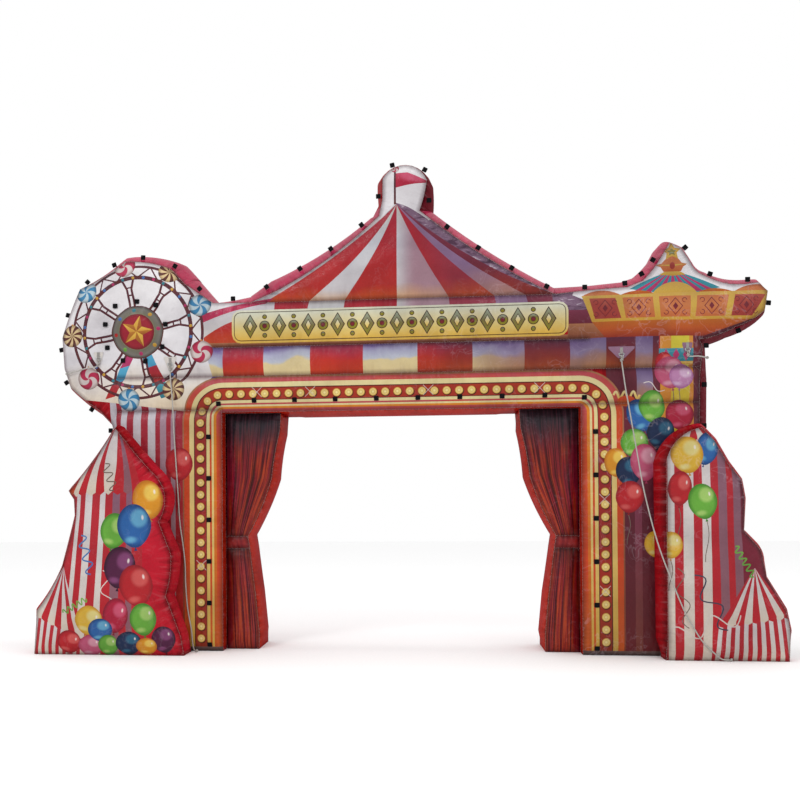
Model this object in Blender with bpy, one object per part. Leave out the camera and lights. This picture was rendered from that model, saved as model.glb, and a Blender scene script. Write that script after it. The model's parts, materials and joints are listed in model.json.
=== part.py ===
"""Inflatable carnival arch: one air-filled arch body, two wings, two curtains and their fittings.

Metres, +Z up, the front faces -Y.  The origin is on the ground, under the middle of the object's box.
Outlines are drawn in the arch's own drawing plane: x to the right, z up, y = 0 at its front seam.
"""

import math

import bpy
import numpy as np
from mathutils import Matrix, Vector
from mathutils.bvhtree import BVHTree
from mathutils.geometry import delaunay_2d_cdt

# Driving sizes
GAP = 0.0003  # between two pieces that touch
ARCH_DEPTH = 0.80  # front seam to back seam
LEG_OUT = 3.02  # middle to a leg's outer seam
LEG_IN = 1.88  # middle to a leg's inner seam
CLEAR_HEIGHT = 2.555  # ground to the beam's underside
LEG_SEAM = 2.58  # where the legs join the beam
BEAM_SEAMS = (2.94, 3.25)  # between the beam's three tubes
EAVES = 3.72  # top of the beam, foot of the roof
WING_BACK = -0.05  # where a wing lies flat on a leg
WING_FRONT = {"left": -0.38, "right": -0.30}  # front seams of the wings
CURTAIN_FRONT = 0.19  # front seam of the curtains
TIE_BAND = (1.09, 1.22)  # foot and top of the curtains' waist
BODY_STEP = 0.17  # spacing of points on the arch body
SMALL_STEP = 0.13  # spacing of points on the wings and curtains

# How far cloth crowns between its seams: a quick rise beside the seam, then a slow one
SEAM_RISE = {"height": 0.055, "width": 0.155}
WIDE_RISE = {"height": 0.050, "width": 0.40}

WHEEL = {"x": -2.81, "z": 3.44}
# Corners of the wheel's rim, from its foot round to the roof: degrees from +x, radius, bow and side
WHEEL_RIM = [
    (243, 0.940, 0.01, 0.06),
    (218, 0.950, 0.00, 0.06),
    (205, 0.900, 0.00, 0.06),
    (183, 0.840, 0.01, 0.06),
    (143, 0.800, -0.02, 0.08),
    (100, 0.775, 0.03, 0.13),
    (60, 0.770, 0.00, 0.14),
    (44, 0.730, 0.00, 0.14),
]
TIE_RING = {"radius": 0.325, "count": 9, "first": 46.0, "dimple": 0.10}

# Outlines, clockwise as seen from the front.
# x, z: a seam point.  bow: how far the stretch to the next point bows outwards.
# side: how far the side wall bulges past the seam there.
LEFT_LEG = [
    (-LEG_OUT, 0.00, 0.0, 0.00),
    (-LEG_OUT, 0.20, 0.0, 0.15),
    (-3.04, 2.30, 0.0, 0.10),
    (-3.10, 2.46, 0.0, 0.06),
]
ROOF = [
    (-1.97, 3.73, 0.0, 0.04),
    (-1.57, EAVES, 0.0, 0.14),
    (-1.30, 3.83, -0.05, 0.21),
    (-0.18, 4.60, 0.0, 0.12),
    (-0.145, 4.77, 0.0, 0.06),
    (-0.14, 4.99, 0.15, 0.08),
    (0.32, 4.96, 0.01, 0.07),
    (0.24, 4.64, -0.045, 0.14),
    (1.62, 3.72, 0.0, 0.13),
]
CAROUSEL = [
    (2.00, 3.75, 0.0, 0.11),
    (2.36, 3.77, 0.0, 0.12),
    (2.51, 3.83, -0.01, 0.11),
    (2.69, 4.06, 0.0, 0.07),
    (2.78, 4.21, 0.0, 0.08),
    (2.89, 4.15, 0.0, 0.10),
    (2.98, 4.00, -0.02, 0.10),
    (3.12, 3.86, -0.01, 0.12),
    (3.36, 3.77, -0.01, 0.12),
    (3.64, 3.78, 0.0, 0.10),
    (3.73, 3.69, 0.0, 0.05),
    (3.70, 3.50, 0.02, 0.06),
    (3.42, 3.34, 0.02, 0.05),
    (3.06, 3.22, 0.0, 0.03),
]
RIGHT_LEG = [
    (3.09, 3.14, 0.0, 0.10),
    (3.06, 2.85, 0.0, 0.15),
    (LEG_OUT, 0.20, 0.0, 0.15),
    (LEG_OUT, 0.00, 0.0, 0.00),
]
OPENING = [
    (LEG_IN, 0.0, 0.0, 0.0),
    (LEG_IN, CLEAR_HEIGHT, 0.0, 0.0),
    (1.24, CLEAR_HEIGHT, 0.0, 0.0),
    (1.05, CLEAR_HEIGHT, 0.0, 0.03),
    (-1.05, CLEAR_HEIGHT, 0.0, 0.03),
    (-1.24, CLEAR_HEIGHT, 0.0, 0.0),
    (-LEG_IN, CLEAR_HEIGHT, 0.0, 0.0),
    (-LEG_IN, 0.0, 0.0, 0.0),
]
LEFT_WING = [
    (-3.83, 0.00, 0.0, 0.00),
    (-3.80, 0.46, -0.02, 0.05),
    (-3.52, 0.93, 0.0, 0.04),
    (-3.43, 1.24, 0.0, 0.05),
    (-3.38, 1.46, 0.0, 0.04),
    (-3.39, 1.63, 0.0, 0.03),
    (-3.445, 1.72, -0.02, 0.04),
    (-2.94, 2.37, 0.0, 0.05),
    (-2.73, 2.11, 0.0, 0.06),
    (-2.56, 1.92, 0.03, 0.06),
    (-2.41, 1.65, 0.02, 0.06),
    (-2.48, 1.39, 0.0, 0.05),
    (-2.35, 1.05, 0.02, 0.06),
    (-2.41, 0.62, 0.0, 0.05),
    (-2.25, 0.20, 0.0, 0.03),
    (-2.215, 0.00, 0.0, 0.00),
]
RIGHT_WING = [
    (2.64, 0.00, 0.0, 0.00),
    (2.66, 0.20, 0.0, 0.09),
    (2.66, 1.95, 0.08, 0.10),
    (3.00, 2.30, 0.0, 0.05),
    (3.12, 2.17, 0.0, 0.05),
    (3.24, 1.95, 0.0, 0.05),
    (3.37, 1.78, 0.0, 0.04),
    (3.40, 1.60, 0.0, 0.04),
    (3.39, 1.28, 0.0, 0.03),
    (3.49, 1.16, 0.02, 0.04),
    (3.57, 0.98, 0.0, 0.04),
    (3.60, 0.82, 0.0, 0.03),
    (3.78, 0.50, 0.0, 0.04),
    (3.82, 0.30, 0.0, 0.04),
    (3.81, 0.00, 0.0, 0.00),
]
# The curtains' free edge, from the ground up, for the right-hand one; the other is its mirror image.
# x, z: a seam point.  bow: towards the opening.  side: bulge of the side wall.
CURTAIN_EDGE = [
    (1.52, 0.00, 0.0, 0.00),
    (1.52, 0.18, 0.0, 0.04),
    (1.56, 0.60, 0.0, 0.04),
    (1.62, TIE_BAND[0], 0.0, 0.02),
    (1.64, TIE_BAND[1], 0.02, 0.02),
    (1.375, 1.85, -0.01, 0.05),
    (1.285, 2.35, 0.0, 0.03),
    (1.27, CLEAR_HEIGHT - GAP, 0.0, 0.0),
]

# Fittings
RING_WIRE = 0.008  # thickness of a D-ring's wire
RING_HALF = 0.025  # half of its straight bar
RING_DROP = 0.030  # from the bar down to its curve
PLATE_THICK = 0.003  # the sewn-on patch under a ring
WEB_WIDE = 0.030  # the webbing that holds a ring
WEB_TAIL = 0.060
WEB_THICK = 0.003
ROPE_THICK = 0.014
ROPE_SPACING = 0.042
KNOT_RADIUS = 0.016
# name: where it hangs on the front, x and z, and the half width and height of its sewn-on patch
RINGS = {
    "right": {"x": 2.28, "z": 3.085, "half": 0.13, "tall": 0.10},
    "left": {"x": -2.43, "z": 3.085, "half": 0.07, "tall": 0.10},
    "side_left": {"x": -3.22, "z": 3.16, "half": 0.05, "tall": 0.08},
    "side_right": {"x": 2.93, "z": 3.12, "half": 0.05, "tall": 0.08},
}
# Each rope's way from its ring down to its end knot: x, y, z.
ROPES = {
    "right": [
        (2.280, -0.0515, 3.0489), (2.281, -0.055, 3.010), (2.290, -0.080, 2.900), (2.311, -0.110, 2.703), (2.340, -0.130, 2.508),
        (2.369, -0.150, 2.304), (2.408, -0.190, 2.020), (2.447, -0.230, 1.737), (2.502, -0.280, 1.438),
        (2.559, -0.320, 1.191), (2.609, -0.350, 1.015), (2.670, -0.370, 0.839), (2.742, -0.380, 0.644),
        (2.816, -0.380, 0.468), (2.890, -0.380, 0.331), (2.976, -0.376, 0.194), (3.085, -0.362, 0.084),
        (3.150, -0.342, 0.030), (3.190, -0.338, 0.0175), (3.235, -0.336, 0.0165),
    ],
    "left": [
        (-2.430, -0.0511, 3.0489), (-2.430, -0.054, 3.010), (-2.420, -0.076, 2.900), (-2.402, -0.082, 2.689), (-2.389, -0.075, 2.367),
        (-2.368, -0.072, 2.014), (-2.349, -0.070, 1.703), (-2.329, -0.070, 1.382), (-2.292, -0.068, 1.104),
        (-2.275, -0.066, 0.912), (-2.270, -0.064, 0.709), (-2.250, -0.063, 0.463), (-2.212, -0.062, 0.238),
        (-2.200, -0.062, 0.110), (-2.188, -0.066, 0.042), (-2.172, -0.082, 0.018), (-2.150, -0.104, 0.0165),
    ],
    "side_left": [
        (-3.2181, -0.0739, 3.1258), (-3.2185, -0.0745, 3.094), (-3.255, -0.088, 3.068), (-3.330, -0.098, 3.058),
        (-3.430, -0.086, 3.030), (-3.520, -0.064, 3.010), (-3.570, -0.046, 3.000),
    ],
    "side_right": [
        (2.933, -0.0565, 3.0848), (2.933, -0.0625, 3.055), (2.965, -0.069, 3.046), (3.020, -0.068, 3.047),
        (3.070, -0.054, 3.041), (3.118, -0.026, 3.034),
    ],
}
# Hook-and-loop pads for a string of lamps
PAD = {"half": 0.025, "thick": 0.006}
FRAME_PADS = {"x": 2.015, "first": 0.075, "pitch": 0.443, "count": 6, "cornerX": 1.91, "cornerZ": 2.645}
TOP_PADS = {"first": -1.52, "pitch": 0.433, "count": 8, "z": 2.672}
# Pads that stand on the roof's edge and face forward: x, z nearby, the way up from the edge, and the depth.
ROOF_PADS = [
    (-1.403, 3.907, -0.55, 0.83, 0.10),
    (-1.041, 4.095, -0.55, 0.83, 0.10),
    (-0.708, 4.298, -0.57, 0.82, 0.10),
    (-0.361, 4.518, -0.60, 0.80, 0.10),
    (-0.169, 4.830, -1.00, 0.00, 0.08),
    (-0.050, 5.190, -0.20, 0.98, 0.08),
    (0.310, 5.110, 0.50, 0.87, 0.08),
    (0.492, 4.418, 0.60, 0.80, 0.03),
    (0.827, 4.201, 0.55, 0.83, 0.03),
    (1.178, 3.988, 0.52, 0.85, 0.03),
    (1.536, 3.790, 0.50, 0.87, 0.03),
]

COLOURS = {
    "arch": (0.40, 0.026, 0.032),
    "wing": (0.42, 0.030, 0.040),
    "curtain": (0.25, 0.012, 0.016),
    "patch": (0.20, 0.012, 0.016),
    "pad": (0.006, 0.006, 0.007),
    "webbing": (0.16, 0.010, 0.014),
    "steel": (0.50, 0.50, 0.50),
    "rope": (0.42, 0.41, 0.40),
}


def clearScene():
    for thing in list(bpy.data.objects):
        bpy.data.objects.remove(thing, do_unlink=True)


def makeMaterial(name, roughness, metallic=0.0):
    made = bpy.data.materials.new(name)
    made.use_nodes = True
    shader = made.node_tree.nodes["Principled BSDF"]
    shader.inputs["Base Color"].default_value = (*COLOURS[name], 1.0)
    shader.inputs["Roughness"].default_value = roughness
    shader.inputs["Metallic"].default_value = metallic
    return made


def arcPoint(start, end, bow, share):
    """A point on the arc from start to end that bows outwards, to the left of the way it runs."""
    chord = end - start
    length = np.hypot(*chord)
    left = np.array([-chord[1], chord[0]]) / length
    if abs(bow) < 1e-6:
        return start + chord * share
    radius = (length**2 / 4 + bow**2) / (2 * abs(bow))
    half = math.asin(min(1.0, length / (2 * radius)))
    angle = half * (2 * share - 1)
    along = radius * math.sin(angle)
    out = radius * (math.cos(angle) - math.cos(half)) * math.copysign(1, bow)
    return (start + end) / 2 + chord / length * along + left * out


def outlinePoints(table, step):
    """The outline's seam points, about a step apart, as rows of x, z and side bulge."""
    rows = []
    for index, (x, z, bow, side) in enumerate(table):
        nextX, nextZ, _, nextSide = table[(index + 1) % len(table)]
        start = np.array([x, z])
        end = np.array([nextX, nextZ])
        count = max(1, round(np.hypot(*(end - start)) / step))
        if abs(bow) > 0.015:
            count = max(count, 3)
        for i in range(count):
            share = i / count
            point = arcPoint(start, end, bow, share)
            rows.append((point[0], point[1], side + (nextSide - side) * share))
    return np.array(rows)


def distanceToLines(points, starts, ends):
    """The distance from each point to the nearest of the straight lines."""
    nearest = np.full(len(points), 1e9)
    for a, b in zip(starts, ends):
        along = b - a
        share = np.clip((points - a) @ along / max(along @ along, 1e-12), 0, 1)
        gap = points - a - share[:, None] * along
        nearest = np.minimum(nearest, np.hypot(gap[:, 0], gap[:, 1]))
    return nearest


def isInside(points, outline):
    """Whether each point lies inside the outline, by counting its crossings."""
    crossings = np.zeros(len(points), bool)
    for a, b in zip(outline, np.roll(outline, -1, axis=0)):
        spans = (a[1] > points[:, 1]) != (b[1] > points[:, 1])
        rise = b[1] - a[1] if abs(b[1] - a[1]) > 1e-12 else 1e-12
        reach = a[0] + (points[:, 1] - a[1]) / rise * (b[0] - a[0])
        crossings ^= spans & (points[:, 0] < reach)
    return crossings


def seamPoints(seams, step):
    """Points along the inner seams, each seam given by its two ends."""
    rows = []
    for start, end in seams:
        start, end = np.array(start), np.array(end)
        count = max(1, round(np.hypot(*(end - start)) / step))
        rows += [start + (end - start) * i / count for i in range(count + 1)]
    return np.array(rows).reshape(-1, 2)


def gridPoints(low, high, step):
    """A field of points in rows that are offset by half a step."""
    rows = []
    rowStep = step * math.sqrt(3) / 2
    for j in range(int((high[1] - low[1]) / rowStep) + 1):
        z = low[1] + rowStep * j
        offset = step / 2 * (j % 2)
        for i in range(int((high[0] - low[0]) / step) + 1):
            rows.append((low[0] + offset + step * i, z))
    return np.array(rows)


def crownHeight(distance):
    """How far the cloth stands out, this far from its nearest seam."""
    quick = np.clip(distance / SEAM_RISE["width"], 0, 1)
    slow = np.clip((distance - SEAM_RISE["width"]) / WIDE_RISE["width"], 0, 1)
    return SEAM_RISE["height"] * np.sin(quick * math.pi / 2) + WIDE_RISE["height"] * slow**2 * (3 - 2 * slow)


def outwardNormals(outline):
    """The outward direction at each point of a clockwise outline."""
    before = outline - np.roll(outline, 1, axis=0)
    after = np.roll(outline, -1, axis=0) - outline
    before /= np.linalg.norm(before, axis=1)[:, None]
    after /= np.linalg.norm(after, axis=1)[:, None]
    run = before + after
    run /= np.linalg.norm(run, axis=1)[:, None]
    return np.stack([-run[:, 1], run[:, 0]], axis=1)


def inflated(name, table, frontY, backY, step, cloth, seams=(), shape=None, flatBack=False, rings=6):
    """A closed, air-filled body: a crowned front and back, joined by a bulging side wall."""
    rows = outlinePoints(table, step)
    outline, side = rows[:, :2], rows[:, 2]
    count = len(outline)
    starts = list(outline) + [np.array(s[0]) for s in seams]
    ends = list(np.roll(outline, -1, axis=0)) + [np.array(s[1]) for s in seams]
    onSeams = seamPoints(seams, step)
    field = gridPoints(outline.min(axis=0), outline.max(axis=0), step)
    field = field[isInside(field, outline)]
    field = field[distanceToLines(field, starts, ends) > step * 0.42]
    if len(onSeams):
        clear = distanceToLines(onSeams, starts[:count], ends[:count]) > step * 0.3
        field = np.vstack([onSeams[clear & isInside(onSeams, outline)], field])
    flat = np.vstack([outline, field])
    edges = [(i, (i + 1) % count) for i in range(count)]
    found = delaunay_2d_cdt([Vector(p) for p in flat], edges, [list(range(count))], 1, 1e-5)
    points, faces = np.array([tuple(p) for p in found[0]]), found[2]
    rise = crownHeight(distanceToLines(points, starts, ends))
    rise[:count] = 0
    if shape:
        rise = shape(points, rise)
    total = len(points)
    front = np.stack([points[:, 0], frontY - rise, points[:, 1]], axis=1)
    backRise = np.zeros(total) if flatBack else rise
    back = np.stack([points[:, 0], backY + backRise, points[:, 1]], axis=1)
    verts = [tuple(p) for p in front] + [tuple(p) for p in back]
    quads = [tuple(f) for f in faces]
    quads += [tuple(total + i for i in reversed(f)) for f in faces]
    normals = outwardNormals(outline)
    ringStarts = [0]
    for ring in range(1, rings):
        share = ring / rings
        ringStarts.append(len(verts))
        pushed = outline + normals * (side * math.sin(share * math.pi))[:, None]
        pushed[:, 1] = np.maximum(pushed[:, 1], 0.0)
        y = frontY + (backY - frontY) * share
        verts += [(p[0], y, p[1]) for p in pushed]
    ringStarts.append(total)
    for low, high in zip(ringStarts, ringStarts[1:]):
        for i in range(count):
            j = (i + 1) % count
            quads.append((low + i, low + j, high + j, high + i))
    return addMesh(name, verts, quads, cloth)


def addMesh(name, verts, faces, look, smooth=True):
    mesh = bpy.data.meshes.new(name)
    mesh.from_pydata([tuple(float(c) for c in v) for v in verts], [], faces)
    thing = bpy.data.objects.new(name, mesh)
    bpy.context.scene.collection.objects.link(thing)
    mesh.materials.append(look)
    faceOutwards(mesh)
    if smooth:
        mesh.shade_smooth()
    return thing


def faceOutwards(mesh):
    """Turns the whole closed mesh over if its volume comes out negative."""
    volume = 0.0
    for face in mesh.polygons:
        corners = [mesh.vertices[i].co for i in face.vertices]
        for i in range(1, len(corners) - 1):
            volume += corners[0].dot(corners[i].cross(corners[i + 1]))
    if volume < 0:
        mesh.flip_normals()


def wheelOutline():
    """The rim of the wheel, from its foot at the leg round to the roof."""
    rows = []
    for degrees, radius, bow, side in WHEEL_RIM:
        x = WHEEL["x"] + radius * math.cos(math.radians(degrees))
        z = WHEEL["z"] + radius * math.sin(math.radians(degrees))
        rows.append((x, z, bow, side))
    return rows


def tiePoints():
    """Where the wheel's front is tied back, in a ring round its hub."""
    rows = []
    for i in range(TIE_RING["count"]):
        angle = math.radians(TIE_RING["first"] + 360 / TIE_RING["count"] * i)
        rows.append((WHEEL["x"] + TIE_RING["radius"] * math.cos(angle),
                     WHEEL["z"] + TIE_RING["radius"] * math.sin(angle)))
    return np.array(rows)


def archCrown(points, rise):
    """Dimples at the wheel's ties, and a flat place behind each wing."""
    for tie in tiePoints():
        away = np.hypot(*(points - tie).T)
        rise = rise * (1 - 0.6 * np.exp(-((away / TIE_RING["dimple"]) ** 2)))
    behindWing = (np.abs(points[:, 0]) > 2.1) & (points[:, 1] < 2.45)
    return np.where(behindWing, np.minimum(rise, -WING_BACK - GAP), rise)


def makeArch(cloth):
    table = LEFT_LEG + wheelOutline() + ROOF + CAROUSEL + RIGHT_LEG + OPENING
    seams = [((-LEG_OUT, LEG_SEAM), (-LEG_IN, LEG_SEAM)), ((LEG_IN, LEG_SEAM), (LEG_OUT, LEG_SEAM))]
    seams.append(((-LEG_OUT, BEAM_SEAMS[0]), (LEG_OUT, BEAM_SEAMS[0])))
    seams.append(((-1.95, BEAM_SEAMS[1]), (1.95, BEAM_SEAMS[1])))
    seams.append(((-1.57, EAVES), (1.62, EAVES)))
    return inflated("arch_body", table, 0.0, ARCH_DEPTH, BODY_STEP, cloth, seams, archCrown)


def makeWings(cloth):
    for hand, table in (("left", LEFT_WING), ("right", RIGHT_WING)):
        inflated("wing_" + hand, table, WING_FRONT[hand], WING_BACK, SMALL_STEP, cloth,
                 flatBack=True, rings=4)


def makeCurtains(cloth):
    for hand, mirror in (("left", -1), ("right", 1)):
        outer = LEG_IN - GAP
        edge = list(CURTAIN_EDGE) + [(outer, CLEAR_HEIGHT - GAP, 0.0, 0.0), (outer, 0.0, 0.0, 0.0)]
        if mirror < 0:
            # the mirrored edge runs the other way round, so each bow moves to the point before
            bows = [row[2] for row in edge]
            edge = [(-x, z, bows[i - 1], side) for i, (x, z, _, side) in enumerate(edge)][::-1]
        seams = [((mirror * 1.60, z), (mirror * outer, z)) for z in TIE_BAND]
        inflated("curtain_" + hand, edge, CURTAIN_FRONT, ARCH_DEPTH, SMALL_STEP, cloth, seams, rings=4)


def bodyTree(body):
    bpy.context.view_layer.update()
    return BVHTree.FromObject(body, bpy.context.evaluated_depsgraph_get())


def seat(tree, point, facing, outline):
    """The frame of a flat piece laid on the body: its x axis across, y up, z outwards.

    It is lifted until the cloth is one gap away from the nearest spot under its outline.
    """
    hit, normal, _, _ = tree.ray_cast(point + facing * 2, -facing)
    across = Vector((0, 0, 1)).cross(normal)
    across.normalize()
    up = normal.cross(across)
    frame = Matrix((across, up, normal)).transposed().to_4x4()
    nearest = 1.0
    probe = 0.1
    cuts = 8
    for (x, y), (nextX, nextY) in zip(outline, outline[1:] + outline[:1]):
        for i in range(cuts):
            for j in range(cuts + 1):
                share, scale = i / cuts, j / cuts
                spotX = (x + (nextX - x) * share) * scale
                spotY = (y + (nextY - y) * share) * scale
                spot = hit + across * spotX + up * spotY
                found = tree.ray_cast(spot + normal * probe, -normal)
                if found[0] is not None:
                    nearest = min(nearest, found[3] - probe)
    frame.translation = hit + normal * (GAP - nearest)
    return frame


def standUp(tree, point, outward):
    """The frame of a pad that stands on the side wall and faces forward: x along the edge, y outwards."""
    front = Vector((0, -1, 0))
    across = outward.cross(front)
    highest = -1.0
    reach = 0.5
    for i in range(-4, 5):
        for j in range(4):
            spot = point + across * PAD["half"] * i / 4 + front * PAD["thick"] * j / 3
            found = tree.ray_cast(spot + outward * reach, -outward)
            if found[0] is not None:
                highest = max(highest, reach - found[3])
    frame = Matrix((across, outward, front)).transposed().to_4x4()
    frame.translation = point + outward * (highest + GAP + PAD["half"])
    return frame


def prism(name, outline, low, high, look, frame):
    """A flat piece: an outline in its own x and y, from low to high along its z."""
    count = len(outline)
    verts = [(x, y, low) for x, y in outline] + [(x, y, high) for x, y in outline]
    faces = [tuple(range(count))[::-1], tuple(range(count, 2 * count))]
    faces += [(i, (i + 1) % count, count + (i + 1) % count, count + i) for i in range(count)]
    made = addMesh(name, verts, faces, look, smooth=False)
    made.matrix_world = frame
    return made


def tube(name, points, thickness, look, sides=2, closed=False):
    """A round cord or wire along its points."""
    curve = bpy.data.curves.new(name, "CURVE")
    curve.dimensions = "3D"
    curve.bevel_depth = thickness / 2
    curve.bevel_resolution = sides
    curve.resolution_u = 1
    curve.render_resolution_u = 0
    curve.use_fill_caps = not closed
    spline = curve.splines.new("POLY")
    spline.points.add(len(points) - 1)
    for spot, point in zip(spline.points, points):
        spot.co = (*point, 1.0)
    spline.use_cyclic_u = closed
    curve.materials.append(look)
    made = bpy.data.objects.new(name, curve)
    bpy.context.scene.collection.objects.link(made)
    return made


def smoothRoute(route, spacing):
    """Points about a spacing apart on the smooth curve through the route's points."""
    knots = [Vector(p) for p in route]
    knots = [knots[0] * 2 - knots[1]] + knots + [knots[-1] * 2 - knots[-2]]
    fine = []
    for a, b, c, d in zip(knots, knots[1:], knots[2:], knots[3:]):
        for i in range(20):
            t = i / 20
            fine.append(0.5 * (2 * b + (c - a) * t + (2 * a - 5 * b + 4 * c - d) * t**2
                               + (3 * b - a - 3 * c + d) * t**3))
    fine.append(knots[-2])
    total = sum((b - a).length for a, b in zip(fine, fine[1:]))
    count = round(total / spacing)
    points, walked, target = [fine[0]], 0.0, total / count
    for a, b in zip(fine, fine[1:]):
        length = (b - a).length
        while walked + length >= target * len(points) and len(points) < count:
            points.append(a.lerp(b, (target * len(points) - walked) / length))
        walked += length
    return points + [fine[-1]]


def makeWebbing(name, frame, barHeight, look):
    """A strip of webbing folded round the ring's bar, with its tail sewn flat above it."""
    inner = RING_WIRE / 2 + 0.0006
    outer = inner + WEB_THICK
    steps = 12
    low = barHeight - outer
    loop = []
    for radius in (inner, outer):
        for i in range(steps):
            angle = 2 * math.pi * (i + 0.5) / steps
            loop.append((radius * math.cos(angle), barHeight + radius * math.sin(angle)))
    # each loop point is (up, out); the tail leaves the outer wall where it faces up
    tail = [(WEB_TAIL, low), (WEB_TAIL, low + WEB_THICK)]
    first, last = steps + steps - 1, steps
    section = loop + tail
    total = len(section)
    half = WEB_WIDE / 2
    verts = [(-half, y, z) for y, z in section] + [(half, y, z) for y, z in section]
    faces = []
    for i in range(steps):
        j = (i + 1) % steps
        a, b, c, d = i, j, steps + j, steps + i
        faces.append((a, b, c, d))
        faces.append((total + d, total + c, total + b, total + a))
        faces.append((a, total + a, total + b, b))
        if d != first:
            faces.append((d, c, total + c, total + d))
    tailLow, tailHigh = total - 2, total - 1
    faces.append((first, last, tailHigh, tailLow))
    faces.append((total + tailLow, total + tailHigh, total + last, total + first))
    faces.append((last, total + last, total + tailHigh, tailHigh))
    faces.append((tailHigh, total + tailHigh, total + tailLow, tailLow))
    faces.append((tailLow, total + tailLow, total + first, first))
    made = addMesh(name, verts, faces, look, smooth=False)
    made.matrix_world = frame
    return made


def makeRings(tree, webLook, plateLook, steelLook):
    """Each D-ring on its webbing, over a patch sewn to the front."""
    for name, ring in RINGS.items():
        point = Vector((ring["x"], 0.0, ring["z"]))
        half, tall = ring["half"], ring["tall"]
        top, foot = tall / 2 + 0.02, -tall / 2
        outline = [(-half, top), (-half, top - 0.02), (-0.03, foot), (0.03, foot), (half, top - 0.02), (half, top)]
        frame = seat(tree, point, Vector((0, -1, 0)), outline)
        prism("ring_patch_" + name, outline, 0.0, PLATE_THICK, plateLook, frame)
        web = PLATE_THICK + GAP
        barHeight = web + WEB_THICK + RING_WIRE / 2 + 0.0006
        makeWebbing("ring_strap_" + name, frame, barHeight, webLook)
        wire = [(-RING_HALF, 0.0), (RING_HALF, 0.0)]
        for i in range(1, 10):
            angle = math.pi * i / 10
            wire.append((RING_HALF * math.cos(angle), -RING_DROP * math.sin(angle)))
        shape = [(x, y, barHeight) for x, y in wire]
        made = tube("ring_" + name, shape, RING_WIRE, steelLook, closed=True)
        made.matrix_world = frame


def makeRopes(look):
    """Each guy rope from its ring to its end knot."""
    for name, route in ROPES.items():
        points = smoothRoute(route, ROPE_SPACING if len(route) > 8 else ROPE_SPACING * 0.7)
        tube("rope_" + name, points, ROPE_THICK, look)
        onward = points[-1] - points[-2]
        if points[-1].z < 0.1:
            onward.z = 0  # this knot lies on the ground
        onward.normalize()
        centre = points[-1] + onward * (KNOT_RADIUS + GAP)
        bpy.ops.mesh.primitive_uv_sphere_add(segments=10, ring_count=6, radius=KNOT_RADIUS, location=centre)
        knot = bpy.context.object
        knot.name = "rope_knot_" + name
        knot.rotation_euler = onward.to_track_quat("Z", "Y").to_euler()
        knot.data.materials.append(look)
        knot.data.shade_smooth()


def makePads(tree, look):
    """The black hook-and-loop pads round the opening and along the roof."""
    half = PAD["half"]
    square = [(-half, -half), (half, -half), (half, half), (-half, half)]
    front = Vector((0, -1, 0))
    places = []
    for side, sign in (("left", -1), ("right", 1)):
        for i in range(FRAME_PADS["count"]):
            z = FRAME_PADS["first"] + FRAME_PADS["pitch"] * i
            places.append((f"pad_{side}_{i + 1}", Vector((sign * FRAME_PADS["x"], 0, z)), front))
        corner = Vector((sign * FRAME_PADS["cornerX"], 0, FRAME_PADS["cornerZ"]))
        places.append((f"pad_corner_{side}", corner, front))
    for i in range(TOP_PADS["count"]):
        x = TOP_PADS["first"] + TOP_PADS["pitch"] * i
        places.append((f"pad_top_{i + 1}", Vector((x, 0, TOP_PADS["z"])), front))
    for name, point, facing in places:
        frame = seat(tree, point, facing, square)
        prism(name, square, 0.0, PAD["thick"], look, frame)
    for i, (x, z, outX, outZ, depth) in enumerate(ROOF_PADS):
        frame = standUp(tree, Vector((x, depth, z)), Vector((outX, 0, outZ)).normalized())
        prism(f"pad_roof_{i + 1}", square, 0.0, PAD["thick"], look, frame)


def standOnOrigin():
    """Moves everything so that the origin lies under the middle of the box without the ropes."""
    bpy.context.view_layer.update()
    fixed = [thing for thing in bpy.data.objects if not thing.name.startswith("rope")]
    corners = [thing.matrix_world @ Vector(c) for thing in fixed for c in thing.bound_box]
    middleX = (min(c.x for c in corners) + max(c.x for c in corners)) / 2
    middleY = (min(c.y for c in corners) + max(c.y for c in corners)) / 2
    for thing in bpy.data.objects:
        thing.location -= Vector((middleX, middleY, 0))


def main():
    clearScene()
    archCloth = makeMaterial("arch", 0.35)
    wingCloth = makeMaterial("wing", 0.35)
    curtainCloth = makeMaterial("curtain", 0.4)
    body = makeArch(archCloth)
    makeWings(wingCloth)
    makeCurtains(curtainCloth)
    tree = bodyTree(body)
    makeRings(tree, makeMaterial("webbing", 0.7), makeMaterial("patch", 0.6), makeMaterial("steel", 0.3, 1.0))
    makeRopes(makeMaterial("rope", 0.8))
    makePads(tree, makeMaterial("pad", 0.9))
    standOnOrigin()


main()
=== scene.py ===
# Carnival arch: an air-filled arch with two wings, two tied curtains and its guy ropes.
# Metres, z up, the front faces -y.  Outlines and prints are drawn flat, x to the right and z up,
# then laid on the puffed cloth and moved by drawingOrigin into the frame's own place.
import json
import math

import bpy
import numpy as np
from mathutils import Matrix, Vector
from mathutils.bvhtree import BVHTree
from mathutils.geometry import delaunay_2d_cdt
from mathutils.kdtree import KDTree

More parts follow.
